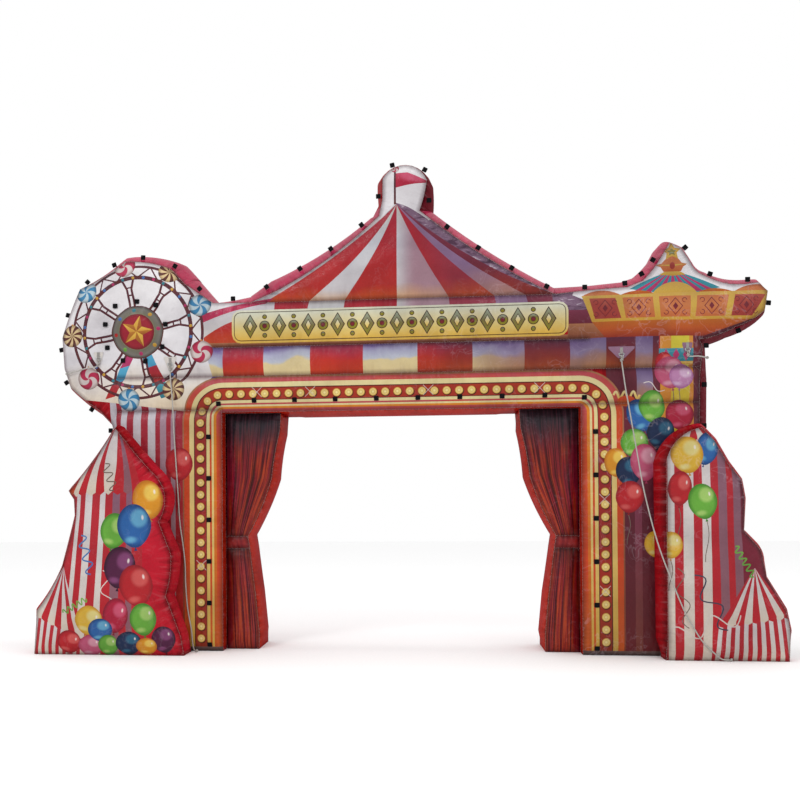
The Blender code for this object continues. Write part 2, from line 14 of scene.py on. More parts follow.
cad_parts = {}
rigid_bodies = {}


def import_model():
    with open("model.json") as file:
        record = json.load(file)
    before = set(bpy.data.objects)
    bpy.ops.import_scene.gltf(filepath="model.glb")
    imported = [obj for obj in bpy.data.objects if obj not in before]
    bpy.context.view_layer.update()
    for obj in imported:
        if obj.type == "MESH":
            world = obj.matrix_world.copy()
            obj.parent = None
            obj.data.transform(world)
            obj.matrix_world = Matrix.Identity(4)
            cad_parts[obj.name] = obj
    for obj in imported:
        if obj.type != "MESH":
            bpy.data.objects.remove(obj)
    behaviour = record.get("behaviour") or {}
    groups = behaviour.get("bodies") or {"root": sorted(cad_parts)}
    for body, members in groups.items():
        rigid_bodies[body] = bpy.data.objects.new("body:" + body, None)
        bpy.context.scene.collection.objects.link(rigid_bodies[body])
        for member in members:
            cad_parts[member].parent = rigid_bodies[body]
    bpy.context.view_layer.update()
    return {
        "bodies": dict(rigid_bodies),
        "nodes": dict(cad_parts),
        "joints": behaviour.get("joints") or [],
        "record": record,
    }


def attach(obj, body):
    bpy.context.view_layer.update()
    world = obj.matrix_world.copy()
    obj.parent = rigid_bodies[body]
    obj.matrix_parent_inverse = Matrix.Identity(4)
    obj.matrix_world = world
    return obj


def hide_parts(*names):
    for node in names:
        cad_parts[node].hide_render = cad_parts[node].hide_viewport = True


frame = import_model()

drawingOrigin = Vector((0.0065, 0.2098, 0.0))  # where the frame's origin lies on the drawing

cameraPlace = {
    "x": 0.402, "y": -11.0, "z": 1.592,  # on the drawing
    "turn": 6.9, "tip": 0.58, "roll": 0.35,  # degrees: to the left, up, clockwise
    "lens": 47.03, "sensor": 36.0, "shiftX": 0.112, "shiftY": 0.1138, "farthest": 200.0,
}


def addObject(name, data):
    made = bpy.data.objects.new(name, data)
    bpy.context.scene.collection.objects.link(made)
    return made


def makeCamera():
    turn, tip, roll = (math.radians(cameraPlace[key]) for key in ("turn", "tip", "roll"))
    ahead = Vector((-math.sin(turn) * math.cos(tip), math.cos(turn) * math.cos(tip), math.sin(tip)))
    level = Vector((math.cos(turn), math.sin(turn), 0))
    upright = level.cross(ahead)
    right = level * math.cos(roll) - upright * math.sin(roll)
    up = level * math.sin(roll) + upright * math.cos(roll)
    data = bpy.data.cameras.new("camera")
    data.lens = cameraPlace["lens"]
    data.sensor_width = cameraPlace["sensor"]
    data.shift_x = cameraPlace["shiftX"]
    data.shift_y = cameraPlace["shiftY"]
    data.clip_end = cameraPlace["farthest"]
    camera = addObject("camera", data)
    camera.matrix_world = Matrix((right, up, -ahead)).transposed().to_4x4()
    camera.location = Vector((cameraPlace["x"], cameraPlace["y"], cameraPlace["z"])) - drawingOrigin
    bpy.context.scene.camera = camera
    print("camera placed")


makeCamera()


# Colours are sRGB hex values, turned linear here.
def hexColour(text):
    parts = [int(text[i:i + 2], 16) / 255 for i in (1, 3, 5)]
    return tuple(c / 12.92 if c <= 0.04045 else ((c + 0.055) / 1.055) ** 2.4 for c in parts) + (1.0,)


def setInputs(tree, node, inputs):
    for key, value in inputs.items():
        if isinstance(value, bpy.types.NodeSocket):
            tree.links.new(value, node.inputs[key])
        else:
            node.inputs[key].default_value = value


def addNode(tree, kind, settings=None, inputs=None):
    node = tree.nodes.new(kind)
    for name, value in (settings or {}).items():
        setattr(node, name, value)
    setInputs(tree, node, inputs or {})
    return node


def newMaterial(name):
    made = bpy.data.materials.new(name)
    made.use_nodes = True
    return made, made.node_tree, made.node_tree.nodes["Principled BSDF"]


# A colour ramp through (place, hex) stops, or through hex colours spaced evenly.
def rampOver(tree, value, stops):
    if isinstance(stops, str):
        colours = stops.split()
        stops = [(i / (len(colours) - 1), colour) for i, colour in enumerate(colours)]
    ramp = addNode(tree, "ShaderNodeValToRGB", inputs={"Fac": value})
    while len(ramp.color_ramp.elements) < len(stops):
        ramp.color_ramp.elements.new(0.5)
    for element, (place, colour) in zip(ramp.color_ramp.elements, stops):
        element.position = place
        element.color = hexColour(colour)
    return ramp.outputs["Color"]


def mixColours(tree, share, first, second, blend="MIX"):
    sockets = {0: share, 6: first, 7: second}
    return addNode(tree, "ShaderNodeMix", {"data_type": "RGBA", "blend_type": blend}, sockets).outputs[2]


def calculate(tree, operation, first, second=0.0, third=0.0):
    inputs = {0: first, 1: second, 2: third}
    return addNode(tree, "ShaderNodeMath", {"operation": operation}, inputs).outputs[0]


def addNoise(tree, place, scale, detail=2.0, rough=0.5, warp=0.0, flat=False):
    settings = {"noise_dimensions": "2D" if flat else "3D"}
    inputs = {"Vector": place, "Scale": scale, "Detail": detail, "Roughness": rough, "Distortion": warp}
    return addNode(tree, "ShaderNodeTexNoise", settings, inputs).outputs["Fac"]


# Turns low to high into first to last.
def stretch(tree, value, low, high, first=0.0, last=1.0, smooth=False):
    settings = {"interpolation_type": "SMOOTHSTEP" if smooth else "LINEAR"}
    inputs = {"Value": value, "From Min": low, "From Max": high, "To Min": first, "To Max": last}
    return addNode(tree, "ShaderNodeMapRange", settings, inputs).outputs[0]


def addRelief(tree, depth, height, under=None, strength=1.0):
    inputs = {"Strength": strength, "Distance": depth, "Height": height}
    if under:
        inputs["Normal"] = under
    return addNode(tree, "ShaderNodeBump", inputs=inputs).outputs[0]


def objectPlace(tree):
    return addNode(tree, "ShaderNodeTexCoord").outputs["Object"]


# A place that the mesh carries in a UV layer: printPlace or seamPlace.
def carriedPlace(tree, layer):
    return addNode(tree, "ShaderNodeUVMap", {"uv_map": layer}).outputs["UV"]


def splitPlace(tree, place):
    return addNode(tree, "ShaderNodeSeparateXYZ", inputs={0: place}).outputs


def flatPlace(tree, x, y):
    return addNode(tree, "ShaderNodeCombineXYZ", inputs={"X": x, "Y": y}).outputs[0]


def distanceOf(tree, place):
    return addNode(tree, "ShaderNodeVectorMath", {"operation": "LENGTH"}, {0: place}).outputs["Value"]


# Two sets of crossing threads, from -1 to 1.
def crossThreads(tree, first, second, pitch):
    return [calculate(tree, "SINE", calculate(tree, "MULTIPLY", way, 2 * math.pi / pitch))
            for way in (first, second)]


# Coated polyester cloth, inkjet printed and varnished: an even, slightly glossy skin over a scrim
# whose threads show faintly, with puckers that run off every sewn seam.
clothFinish = {
    "roughness": 0.34, "smoothest": 0.85, "roughest": 1.2,  # the last two are shares of the first
    "specular": 0.14, "coat": 0.10, "coatRoughness": 0.16,
    "puckerPitch": 0.050, "puckerReach": 0.11, "puckerDepth": 0.028,  # along a seam, away from it
    "creaseShade": 0.50, "creaseLight": 0.16,  # the puckers' hollows and crests
    "foldPitch": 0.20, "foldLight": 0.20,
    "crinklePitch": 0.10, "crinkleDepth": 0.010,  # fine unevenness all over
    "scrimPitch": 0.012, "scrimDepth": 0.0004,  # real threads, 1 mm apart, are too fine to show
    "sagPitch": 0.42, "sagDepth": 0.016,  # slow unevenness of the filled cloth
}


# Puckers run off a seam at right angles: their height, and how it fades with the way from the seam.
def puckerField(tree):
    along, away, _ = splitPlace(tree, carriedPlace(tree, "seamPlace"))
    place = flatPlace(tree, calculate(tree, "MULTIPLY", along, 1 / clothFinish["puckerPitch"]),
                      calculate(tree, "MULTIPLY", away, 3.0))
    fade = calculate(tree, "EXPONENT", calculate(tree, "MULTIPLY", away, -1 / clothFinish["puckerReach"]))
    return addNoise(tree, place, 0.8, 2.0, 0.55, flat=True), fade


# Gives a shader the cloth's colour, relief and gloss, and returns its material.  All cloth looks end here.
# crease: how much painted shade and painted glint the puckers get; shine: how much painted sheen the folds
# get
def dressCloth(material, shader, colour, gloss=1.0, skin=1.0, relief=0.55, crease=0.22, shine=1.0):
    tree = material.node_tree
    finish = clothFinish
    place = objectPlace(tree)
    pucker, fade = puckerField(tree)
    x, _, z = splitPlace(tree, place)
    scrim = calculate(tree, "MULTIPLY", *crossThreads(tree, x, z, finish["scrimPitch"]))
    crinkle = addNoise(tree, place, 1 / finish["crinklePitch"], 4.0, 0.6, 0.8)
    broad = addRelief(tree, finish["sagDepth"], addNoise(tree, place, 1 / finish["sagPitch"]))
    crinkled = addRelief(tree, finish["crinkleDepth"], crinkle, broad)
    puckered = addRelief(tree, finish["puckerDepth"] * relief, calculate(tree, "MULTIPLY", pucker, fade),
                         crinkled)
    rough = finish["roughness"] / gloss
    setInputs(tree, shader, {
        "Base Color": dyeDriftAndPaintedLight(tree, colour, crease, shine),
        "Normal": addRelief(tree, finish["scrimDepth"], scrim, puckered),
        "Coat Normal": puckered,
        "Roughness": stretch(tree, addNoise(tree, place, 9.0, 4.0), 0.3, 0.7,
                             rough * finish["smoothest"], rough * finish["roughest"]),
        "Coat Weight": finish["coat"] * gloss,
        "Coat Roughness": finish["coatRoughness"],
        "IOR": 1.5,
        "Specular IOR Level": finish["specular"] * skin,
    })
    return material


# Printed dye is never quite even: a slow drift and a fine speckle. Painted shade darkens the seams and the
# puckers' hollows, painted glints light their crests, and painted sheen lights thin folds in the varnish,
# in patches and more of them towards the right end.
def dyeDriftAndPaintedLight(tree, colour, crease, shine):
    place = objectPlace(tree)
    away = splitPlace(tree, carriedPlace(tree, "seamPlace"))["Y"]
    pucker, fade = puckerField(tree)
    drift = rampOver(tree, addNoise(tree, place, 2.3, 3.0), [(0.3, "#C8C4C6"), (0.7, "#EAE8E8")])
    # painted shade, darker within a few centimetres of each seam
    edge = rampOver(tree, calculate(tree, "MULTIPLY", away, 20.0), [(0.0, "#A89CA0"), (0.9, "#FFFFFF")])
    # painted shade in the puckers' hollows and painted glints on their crests
    hollow = rampOver(tree, pucker, [(0.36, "#86707A"), (0.47, "#FFFFFF")])
    glint = rampOver(tree, pucker, [(0.60, "#000000"), (0.68, "#8C8488"), (0.74, "#000000")])
    # painted sheen: thin bright lines on folds in the varnish, in patches, more towards the right end
    folds = addNoise(tree, place, 1 / clothFinish["foldPitch"], 3.0, 0.6, 0.6)
    bright = rampOver(tree, folds,
                      [(0.455, "#000000"), (0.49, "#A89CA6"), (0.50, "#2A2628"), (0.53, "#000000")])
    patchy = stretch(tree, addNoise(tree, place, 1.7), 0.44, 0.60)
    rightward = stretch(tree, splitPlace(tree, place)["X"], 0.0, 1.6, clothFinish["foldLight"] * 0.35,
                        clothFinish["foldLight"])
    folded = calculate(tree, "MULTIPLY", rightward, calculate(tree, "MULTIPLY", patchy, shine))
    shares = [calculate(tree, "MULTIPLY", fade, clothFinish[key] * crease)
              for key in ("creaseShade", "creaseLight")]
    layers = [(1.0, drift, "MULTIPLY"), (1.0, edge, "MULTIPLY"), (shares[0], hollow, "MULTIPLY"),
              (shares[1], glint, "SCREEN"), (folded, bright, "SCREEN")]
    for share, layer, blend in layers:
        colour = mixColours(tree, share, colour, layer, blend)
    return colour


# A look that runs from foot to top of its shape, with a second set of colours where the print
# is drawn in shade.  shade: x where it starts and x where it is full.
def gradedPrint(name, lit, shaded=None, shade=(1.25, 1.9), sway=0.22, gloss=1.0, **surface):
    made, tree, shader = newMaterial(name)
    height = splitPlace(tree, carriedPlace(tree, "printPlace"))["Y"]
    place = objectPlace(tree)
    shift = calculate(tree, "MULTIPLY_ADD", addNoise(tree, place, 3.0), sway, -sway / 2)
    level = calculate(tree, "ADD", height, shift)
    colour = rampOver(tree, level, lit)
    if shaded:
        dim = stretch(tree, splitPlace(tree, place)["X"], *shade, smooth=True)
        colour = mixColours(tree, dim, colour, rampOver(tree, level, shaded))
    return dressCloth(made, shader, colour, gloss, **surface)


# A balloon as a sign painter draws it: dark rim, lighter towards the top right, a spot of light.
def balloonPrint(name, dark, base, light):
    made, tree, shader = newMaterial(name)
    mapped = carriedPlace(tree, "printPlace")
    colour = rampOver(tree, distanceOf(tree, mapped), [(0.25, base), (0.72, base), (1.0, dark)])
    for x, y, wide, tall, inner, outer, tint in (
            (0.30, 0.34, 0.62, 0.52, 0.55, 1.0, light), (-0.25, -0.62, 0.50, 0.22, 0.2, 1.0, light),
            (0.52, 0.36, 0.10, 0.16, 0.3, 1.0, "#F4EDE6")):
        offset = addNode(tree, "ShaderNodeVectorMath", {"operation": "SUBTRACT"}, {0: mapped, 1: (x, y, 0)})
        scaled = addNode(tree, "ShaderNodeVectorMath", {"operation": "DIVIDE"},
                         {0: offset.outputs[0], 1: (wide, tall, 1)})
        share = stretch(tree, distanceOf(tree, scaled.outputs[0]), inner, outer, 0.8, 0.0, smooth=True)
        colour = mixColours(tree, share, colour, hexColour(tint))
    return dressCloth(made, shader, colour)


# Rings of colour about the middle of the shape, for lamps, discs and bosses.
def ringedPrint(name, stops):
    made, tree, shader = newMaterial(name)
    return dressCloth(made, shader,
                      rampOver(tree, distanceOf(tree, carriedPlace(tree, "printPlace")), stops))


# Two colours that swirl about the middle of a disc.
def swirlPrint(name, first, second, arms, twist):
    made, tree, shader = newMaterial(name)
    mapped = carriedPlace(tree, "printPlace")
    away = distanceOf(tree, mapped)
    x, y, _ = splitPlace(tree, mapped)
    angle = calculate(tree, "ARCTAN2", y, x)
    turned = calculate(tree, "MULTIPLY_ADD", away, twist, calculate(tree, "MULTIPLY", angle, arms))
    wave = calculate(tree, "MULTIPLY_ADD", calculate(tree, "SINE", turned), 0.5, 0.5)
    colour = rampOver(tree, wave, [(0.42, first), (0.55, second)])
    rim = rampOver(tree, away, [(0.7, "#FFFFFF"), (1.0, "#B4A8A4")])
    return dressCloth(made, shader, mixColours(tree, 1.0, colour, rim, "MULTIPLY"))


# Printed curtain folds: across runs from the sewn edge to the free edge, height is in metres.
curtainPaint = {"shadeLow": 0.80, "tieLow": 1.09, "tieHigh": 1.22, "topStart": 2.02, "topFull": 2.46}


def curtainPrint(name):
    made, tree, shader = newMaterial(name)
    across, height, _ = splitPlace(tree, carriedPlace(tree, "printPlace"))

    def streaks(pitch, slow, detail):
        place = flatPlace(tree, calculate(tree, "MULTIPLY", across, pitch),
                          calculate(tree, "MULTIPLY", height, slow))
        return addNoise(tree, place, 1.0, detail, 0.6, flat=True)

    broad, narrow, thin = streaks(5.0, 0.7, 2.0), streaks(15.0, 0.5, 3.0), streaks(38.0, 0.9, 2.0)
    ground = rampOver(tree, broad,
                      [(0.34, "#7E1230"), (0.47, "#96141F"), (0.56, "#A83418"), (0.68, "#8A1426")])
    shadow = rampOver(tree, narrow,
                      [(0.34, "#5A1E26"), (0.50, "#FFFFFF"), (0.60, "#FFFFFF"), (0.74, "#7A4048")])
    lines = rampOver(tree, thin, [(0.38, "#6C3C40"), (0.48, "#FFFFFF")])
    glow = rampOver(tree, narrow, [(0.50, "#000000"), (0.57, "#C8541C"), (0.64, "#000000")])
    dusk = rampOver(tree, thin, [(0.3, "#1E161C"), (0.55, "#352A34"), (0.75, "#5A3440")])
    band = rampOver(tree, broad, [(0.3, "#7A1420"), (0.7, "#A02A24")])
    # warm towards the ground, dusky at the top, and dark under the tie band
    warm = calculate(tree, "MULTIPLY_ADD", height, -0.35, calculate(tree, "ADD", across, 0.35))
    warm = stretch(tree, warm, 0.15, 0.95, 0.12, 0.60, smooth=True)
    climb = calculate(tree, "MULTIPLY_ADD", narrow, 0.5, calculate(tree, "ADD", height, -0.25))
    climb = stretch(tree, climb, curtainPaint["topStart"], curtainPaint["topFull"], smooth=True)
    above = calculate(tree, "GREATER_THAN", height, curtainPaint["tieLow"])
    tied = calculate(tree, "MULTIPLY", above, calculate(tree, "LESS_THAN", height, curtainPaint["tieHigh"]))
    under = stretch(tree, height, curtainPaint["shadeLow"], curtainPaint["tieLow"], 0.0, 0.55, smooth=True)
    under = calculate(tree, "MULTIPLY", under, calculate(tree, "SUBTRACT", 1.0, above))
    colour = ground
    for share, layer, blend in ((0.85, shadow, "MULTIPLY"), (0.8, lines, "MULTIPLY"),
                                (warm, glow, "SCREEN"), (climb, dusk, "MIX"), (tied, band, "MIX"),
                                (under, hexColour("#2E1014"), "MIX")):
        colour = mixColours(tree, share, colour, layer, blend)
    return dressCloth(made, shader, colour, shine=0.3)


# Cloth in shade with creases that catch the light.
def creasedPrint(name, dark, middle, light, lean=-30.0):
    made, tree, shader = newMaterial(name)
    turned = addNode(tree, "ShaderNodeMapping", inputs={
        "Vector": objectPlace(tree), "Rotation": (0, math.radians(lean), 0), "Scale": (1.0, 1.0, 3.2)})
    stops = [(0.36, dark), (0.50, middle), (0.60, middle), (0.66, light), (0.72, middle)]
    return dressCloth(made, shader,
                      rampOver(tree, addNoise(tree, turned.outputs[0], 7.0, 5.0, 0.65, 0.6), stops), 1.3)


# The side walls' plain coated cloth: name, colours from front to back, and gloss. The cloth is one red;
# the others are copies of it with painted sheen, painted shade and painted light.
sideCloths = {
    "sideRed": ("red", "#A0101A #AC1620", 1.2),
    # painted sheen: the walls that face up, lighter and pinker, over a real glossy coat
    "sideRose": ("rose", "#B42C50 #BE3E62", 3.0),
    # painted shade: the walls that face away, darker
    "sidePaintedShade": ("wine", "#6E1020 #7C1626", 0.5),
    "sideScarlet": ("scarlet", "#C02A10 #AE1A14 #A21416", 0.8),
    # painted light: the wings' walls, lighter
    "sideBright": ("bright_red", "#C01C2C #CC2438", 1.5),
}
# Prints, each with its colours from foot to top, and in shade where it has them.
gradedPrints = {
    "foot": ["#5C4A44 #6E5650"],
    "stripeRed": ["#B82A20 #A8242C #9C2438", "#8A2A1C #6E1C2A #5E2034"],
    "stripeWhite": ["#D8CCB8 #CBC8C6 #C2BEC6", "#9C7A6A #86708A #7A6A8C"],
    "stripeLilac": ["#B09090 #A88890 #A08494"],
    "wingRed": ["#BA1E28 #B4202C #AE2834"],
    "wingWhite": ["#D6CAB8 #D3CDC8 #D0CACB"],
    "wingDusk": ["#8C5A62 #8A5C6A #885E72"],
    "wingDark": ["#7C1C2C #7A1E34 #742440"],
    "blockRed": [[(0.0, "#C23A18"), (0.45, "#C03024"), (0.7, "#B42A3A"), (1.0, "#8C2848")],
                 [(0.0, "#9C4418"), (0.4, "#7C2A22"), (0.7, "#66202E"), (1.0, "#542038")], (0.0, 1.1), 0.6],
    "blockWhite": [[(0.0, "#E2D09A"), (0.42, "#DCCB98"), (0.5, "#B9BFCB"), (0.75, "#A9ABC4"),
                    (1.0, "#74609A")],
                   [(0.0, "#A87650"), (0.4, "#94706A"), (0.6, "#80708E"), (1.0, "#6A5680")], (0.2, 1.4),
                   0.8],
    "shadeBrown": ["#7C3A24 #A8704C"],
    "roofRed": [[(0.0, "#C24A1C"), (0.14, "#B02824"), (0.5, "#A81C28"), (1.0, "#9C2438")],
                [(0.0, "#B84A24"), (0.2, "#922A3A"), (1.0, "#983C52")], (0.1, 0.6)],
    "roofWhite": [[(0.0, "#DDB48A"), (0.14, "#CCC8CA"), (0.6, "#C2C5CB"), (1.0, "#BAB8AE")],
                  [(0.0, "#C89A7C"), (0.16, "#A88490"), (0.6, "#A07E8C"), (1.0, "#A88C98")], (-0.05, 0.2)],
    "roofShade": [[(0.0, "#A87A70"), (0.3, "#86688A"), (1.0, "#8A6C8C")]],
    "roofMaroon": [[(0.0, "#8C2C20"), (0.3, "#6C2034"), (1.0, "#7A3048")]],
    "frameOrange": [[(0.0, "#C25A1C"), (0.35, "#C8421C"), (0.9, "#C4481E"), (1.0, "#B84A50")]],
    "frameCream": ["#C8A040 #DCC070 #DDD098"],
    "frameDark": ["#4E1A10 #5A1A14"],
    "frameRed": [[(0.0, "#8E2E14"), (0.3, "#9E2818"), (0.7, "#922024"), (1.0, "#A43018")]],
    "frameAmber": ["#B8501A #D0701E #D88420"],
    "plate": [[(0.0, "#E2B84C"), (0.35, "#DFC878"), (1.0, "#D3D6C0")]],
    "plateLine": ["#4A2A16 #3E3024"],
    "plateOlive": ["#8C8420 #7E7440 #93A08C"],
    "plateWine": ["#7A1E26 #6A2A34"],
    "wheelGround": [[(0.0, "#E6D8BC"), (0.3, "#E2E1E4"), (1.0, "#E6E5E6")], None, None, 0.22, 1.1],
    "wheelBar": ["#5E241E #542630 #5A2A34"],
    "starLight": ["#C8923A #E6BE50"],
    "starDark": ["#96501E #B87A30"],
    "teal": ["#2C7480 #3A94A4"],
    "skyBlue": ["#3C90B4 #56AACC"],
    "magenta": ["#A82A5C #B83C70"],
    "canopyOrange": ["#B85C2C #C07444 #B86840"],
    "canopyRed": [[(0.0, "#9A342C"), (0.6, "#A04038"), (1.0, "#B05A48")]],
    "canopyGold": ["#C09030 #C8A448 #C49C50"],
    "canopyFoot": ["#8E2C18 #B0501C #B0601E"],
    "columnYellow": ["#C8881C #D0A828 #CEC23C"],
    "columnOrange": ["#C06A20 #D08C34"],
    "columnShade": ["#6A1C22 #5C1C2C #6A2434"],
    "columnDim": ["#7C3C30 #783448 #74405A"],
    "thinLine": ["#6A5A50 #7A6A5C"],
    "paleLine": ["#CFC4BC #D8D0C8"],
    "navyLine": ["#343848 #3C4458"],
    "greenLine": ["#5E9C3C #78B04C"],
    "blueLine": ["#3C68A8 #5484B8"],
}
creasedPrints = {
    # painted shade, with painted highlights where its creases catch the light
    "roofSilver": ["#4A2C44", "#7C6078", "#C8BCC8"],
    # painted highlights where the white trim's creases catch the light
    "roofEdge": ["#A8A6AC", "#C8C6C8", "#ECEAEA", 30.0],
}
ringedPrints = {
    "lamp": [[(0.0, "#EFE2A8"), (0.34, "#E4CF80"), (0.44, "#C9A34E"), (0.56, "#E8D48A"), (0.86, "#DDB456"),
              (1.0, "#9C6A28")]],
    "hubRing": [[(0.6, "#8C8A5E"), (0.74, "#6E6C5C"), (0.9, "#75716A"), (1.0, "#4A4640")]],
    "hubRed": [[(0.0, "#8E1C2C"), (0.8, "#9C1E30"), (1.0, "#6A1420")]],
}
swirlPrints = {  # two colours, arms and twist
    "swirlBlue": ["#3C86B4", "#BCD4DC", 5, 4.0],
    "swirlRose": ["#B82C50", "#D8CCC8", 3, 5.0],
    "swirlBrown": ["#5C2C22", "#D8C090", 8, 3.0],
}
balloonPrints = {  # rim, body and light
    "balloonRed": ["#8E1420", "#B82028", "#D8605C"],
    "balloonCrimson": ["#7E1028", "#B01C3C", "#D05A78"],
    "balloonPink": ["#A83458", "#C05878", "#D8A0B0"],
    "balloonLilac": ["#A25C94", "#BE86B0", "#D8B8D4"],
    "balloonOrange": ["#B86A14", "#DA9424", "#F0D060"],
    "balloonYellow": ["#C08A20", "#DCB43C", "#E0D890"],
    "balloonGreen": ["#3C7A24", "#66A83C", "#A8CC70"],
    "balloonBlue": ["#16386E", "#2A62A4", "#6AB0D0"],
    "balloonNavy": ["#0E1830", "#1A2C50", "#306A88"],
    "balloonPlum": ["#2C0C24", "#521A40", "#8A4878"],
}


def makeClothLooks():
    plain = {"skin": 0.0, "relief": 1.0, "crease": 1.0, "shine": 0.4}
    made = {key: gradedPrint("pvc_coated_cloth_" + name, colours, gloss=gloss, **plain)
            for key, (name, colours, gloss) in sideCloths.items()}
    for paint, prints in ((gradedPrint, gradedPrints), (creasedPrint, creasedPrints),
                          (ringedPrint, ringedPrints), (swirlPrint, swirlPrints),
                          (balloonPrint, balloonPrints), (curtainPrint, {"curtain": []})):
        for key, values in prints.items():
            words = "".join("_" + letter.lower() if letter.isupper() else letter for letter in key)
            made[key] = paint("printed_cloth_" + words, *values)
    print("cloth looks:", len(made))
    return made


looks = makeClothLooks()


# A shape of the print: a flat outline, its look, and the box or middle that its look is laid out in.
def shape(look, outline, box=None, middle=None):
    outline = np.array(outline, float)
    if box is None and middle is None:
        box = (*outline.min(axis=0), *outline.max(axis=0))
    return {"look": look, "outline": outline, "box": box, "middle": middle}


def shapePlaces(item, points):
    if item["middle"]:
        x, z, halfX, halfZ, lean = item["middle"]
        turn = math.radians(lean)
        dx, dz = points[:, 0] - x, points[:, 1] - z
        return np.stack([(dx * math.cos(turn) + dz * math.sin(turn)) / halfX,
                         (dz * math.cos(turn) - dx * math.sin(turn)) / halfZ], axis=1)
    lowX, lowZ, highX, highZ = item["box"]
    return np.stack([(points[:, 0] - lowX) / max(highX - lowX, 1e-6),
                     (points[:, 1] - lowZ) / max(highZ - lowZ, 1e-6)], axis=1)


def disc(look, x, z, halfX, halfZ=None, count=20):
    halfZ = halfZ or halfX
    angles = np.linspace(0, 2 * math.pi, count, endpoint=False)
    outline = np.stack([x + halfX * np.cos(angles), z + halfZ * np.sin(angles)], axis=1)
    return shape(look, outline, middle=(x, z, halfX, halfZ, 0.0))


def diamond(look, x, z, wide, tall):
    return shape(look, [(x - wide, z), (x, z + tall), (x + wide, z), (x, z - tall)])


def around(x, z, radius, degrees):
    turn = math.radians(degrees)
    return x + radius * math.cos(turn), z + radius * math.sin(turn)


# Points given about a middle, leaned over there.
def leaned(x, z, lean, points):
    turn = math.radians(lean)
    return [(x + a * math.cos(turn) - b * math.sin(turn), z + a * math.sin(turn) + b * math.cos(turn))
            for a, b in points]


def block(look, lowX, lowZ, highX, highZ, box=None):
    return shape(look, [(lowX, lowZ), (lowX, highZ), (highX, highZ), (highX, lowZ)], box=box)


def ribbon(look, points, width):
    points = np.array(points, float)
    ahead, behind = np.roll(points, -1, axis=0), np.roll(points, 1, axis=0)
    ahead[-1], behind[0] = points[-1], points[0]
    run = ahead - behind
    run /= np.linalg.norm(run, axis=1)[:, None]
    across = np.stack([-run[:, 1], run[:, 0]], axis=1) * width / 2
    return [shape(look, np.vstack([points + across, (points - across)[::-1]]))]


def balloon(look, x, z, halfX, halfZ, lean=0.0, string=0.0):
    angles = np.linspace(0, 2 * math.pi, 30, endpoint=False) + math.pi / 2
    up = np.sin(angles)
    across = np.cos(angles) * np.where(up < 0, 1 - 0.22 * up**2, 1.0)
    neck = [(-0.02, -0.99), (-0.10, -1.13), (0.10, -1.13), (0.02, -0.99)]
    lowest = int(np.argmin(up))
    local = list(zip(across, up))
    local = local[:lowest] + neck + local[lowest + 1:]
    made = []
    if string:
        footX, footZ = around(x, z, -1.12 * halfZ, 90 + lean)
        line = [(footX + 0.018 * math.sin(t * 5), footZ - string * t) for t in np.linspace(0, 1, 7)]
        made += ribbon("thinLine", line, 0.007)
    outline = leaned(x, z, lean, [(a * halfX, b * halfZ) for a, b in local])
    return made + [shape(look, outline, middle=(x, z, halfX, halfZ, lean))]


def star(x, z, radius, inner, turn, light="starLight", dark="starDark"):
    tips = [around(x, z, radius * (inner if i % 2 else 1), turn + 36 * i) for i in range(10)]
    return [shape(dark if i % 2 else light, [(x, z), tips[i], tips[(i + 1) % 10]]) for i in range(10)]


def squiggle(look, x, z, length, swing, waves, width, lean=0.0):
    line = [(length * (t - 0.5), swing * math.sin(t * waves * 2 * math.pi))
            for t in np.linspace(0, 1, waves * 12 + 1)]
    return ribbon(look, leaned(x, z, lean, line), width)


# A point on the arc from start to end that bows to the left of the way it runs.
def arcPoint(start, end, bow, share):
    chord = end - start
    length = np.hypot(*chord)
    left = np.array([-chord[1], chord[0]]) / length
    if abs(bow) < 1e-6:
        return start + chord * share
    radius = (length**2 / 4 + bow**2) / (2 * abs(bow))
    half = math.asin(min(1.0, length / (2 * radius)))
    angle = half * (2 * share - 1)
    out = radius * (math.cos(angle) - math.cos(half)) * math.copysign(1, bow)
    return (start + end) / 2 + chord / length * radius * math.sin(angle) + left * out


def arc(start, end, bow, count=12):
    start, end = np.array(start, float), np.array(end, float)
    return [tuple(arcPoint(start, end, bow, i / count)) for i in range(count + 1)]


def isInside(points, outline):
    crossings = np.zeros(len(points), bool)
    for a, b in zip(outline, np.roll(outline, -1, axis=0)):
        if a[1] == b[1]:
            continue
        spans = (a[1] > points[:, 1]) != (b[1] > points[:, 1])
        reach = a[0] + (points[:, 1] - a[1]) / (b[1] - a[1]) * (b[0] - a[0])
        crossings ^= spans & (points[:, 0] < reach)
    return crossings


# Air holds the cloth out between its seams: a quick rise beside the seam, then a slow one.
puff = {
    "quickRise": 0.055, "quickWidth": 0.155, "slowRise": 0.050, "slowWidth": 0.40,
    "spacing": 0.045, "keepClear": 0.45,  # between points of the mesh, and the share of it from a line
    "sideRings": 14, "sideProfile": 0.85,
    "onSeam": 1e-5, "foldReach": 2e-4,  # how near its seam a point counts as on it, and as folded sharply
    "plainSize": 4.0,  # metres of plain cloth to one length of the print's place
    "gap": 0.0003,  # between pieces that touch
}


def outlineRows(table, step):
    rows = []
    for index, (x, z, bow, side) in enumerate(table):
        nextX, nextZ, _, nextSide = table[(index + 1) % len(table)]
        start, end = np.array([x, z]), np.array([nextX, nextZ])
        count = max(1, round(np.hypot(*(end - start)) / step))
        if abs(bow) > 0.015:
            count = max(count, 6)
        for i in range(count):
            point = arcPoint(start, end, bow, i / count)
            rows.append((point[0], point[1], side + (nextSide - side) * i / count))
    return np.array(rows)


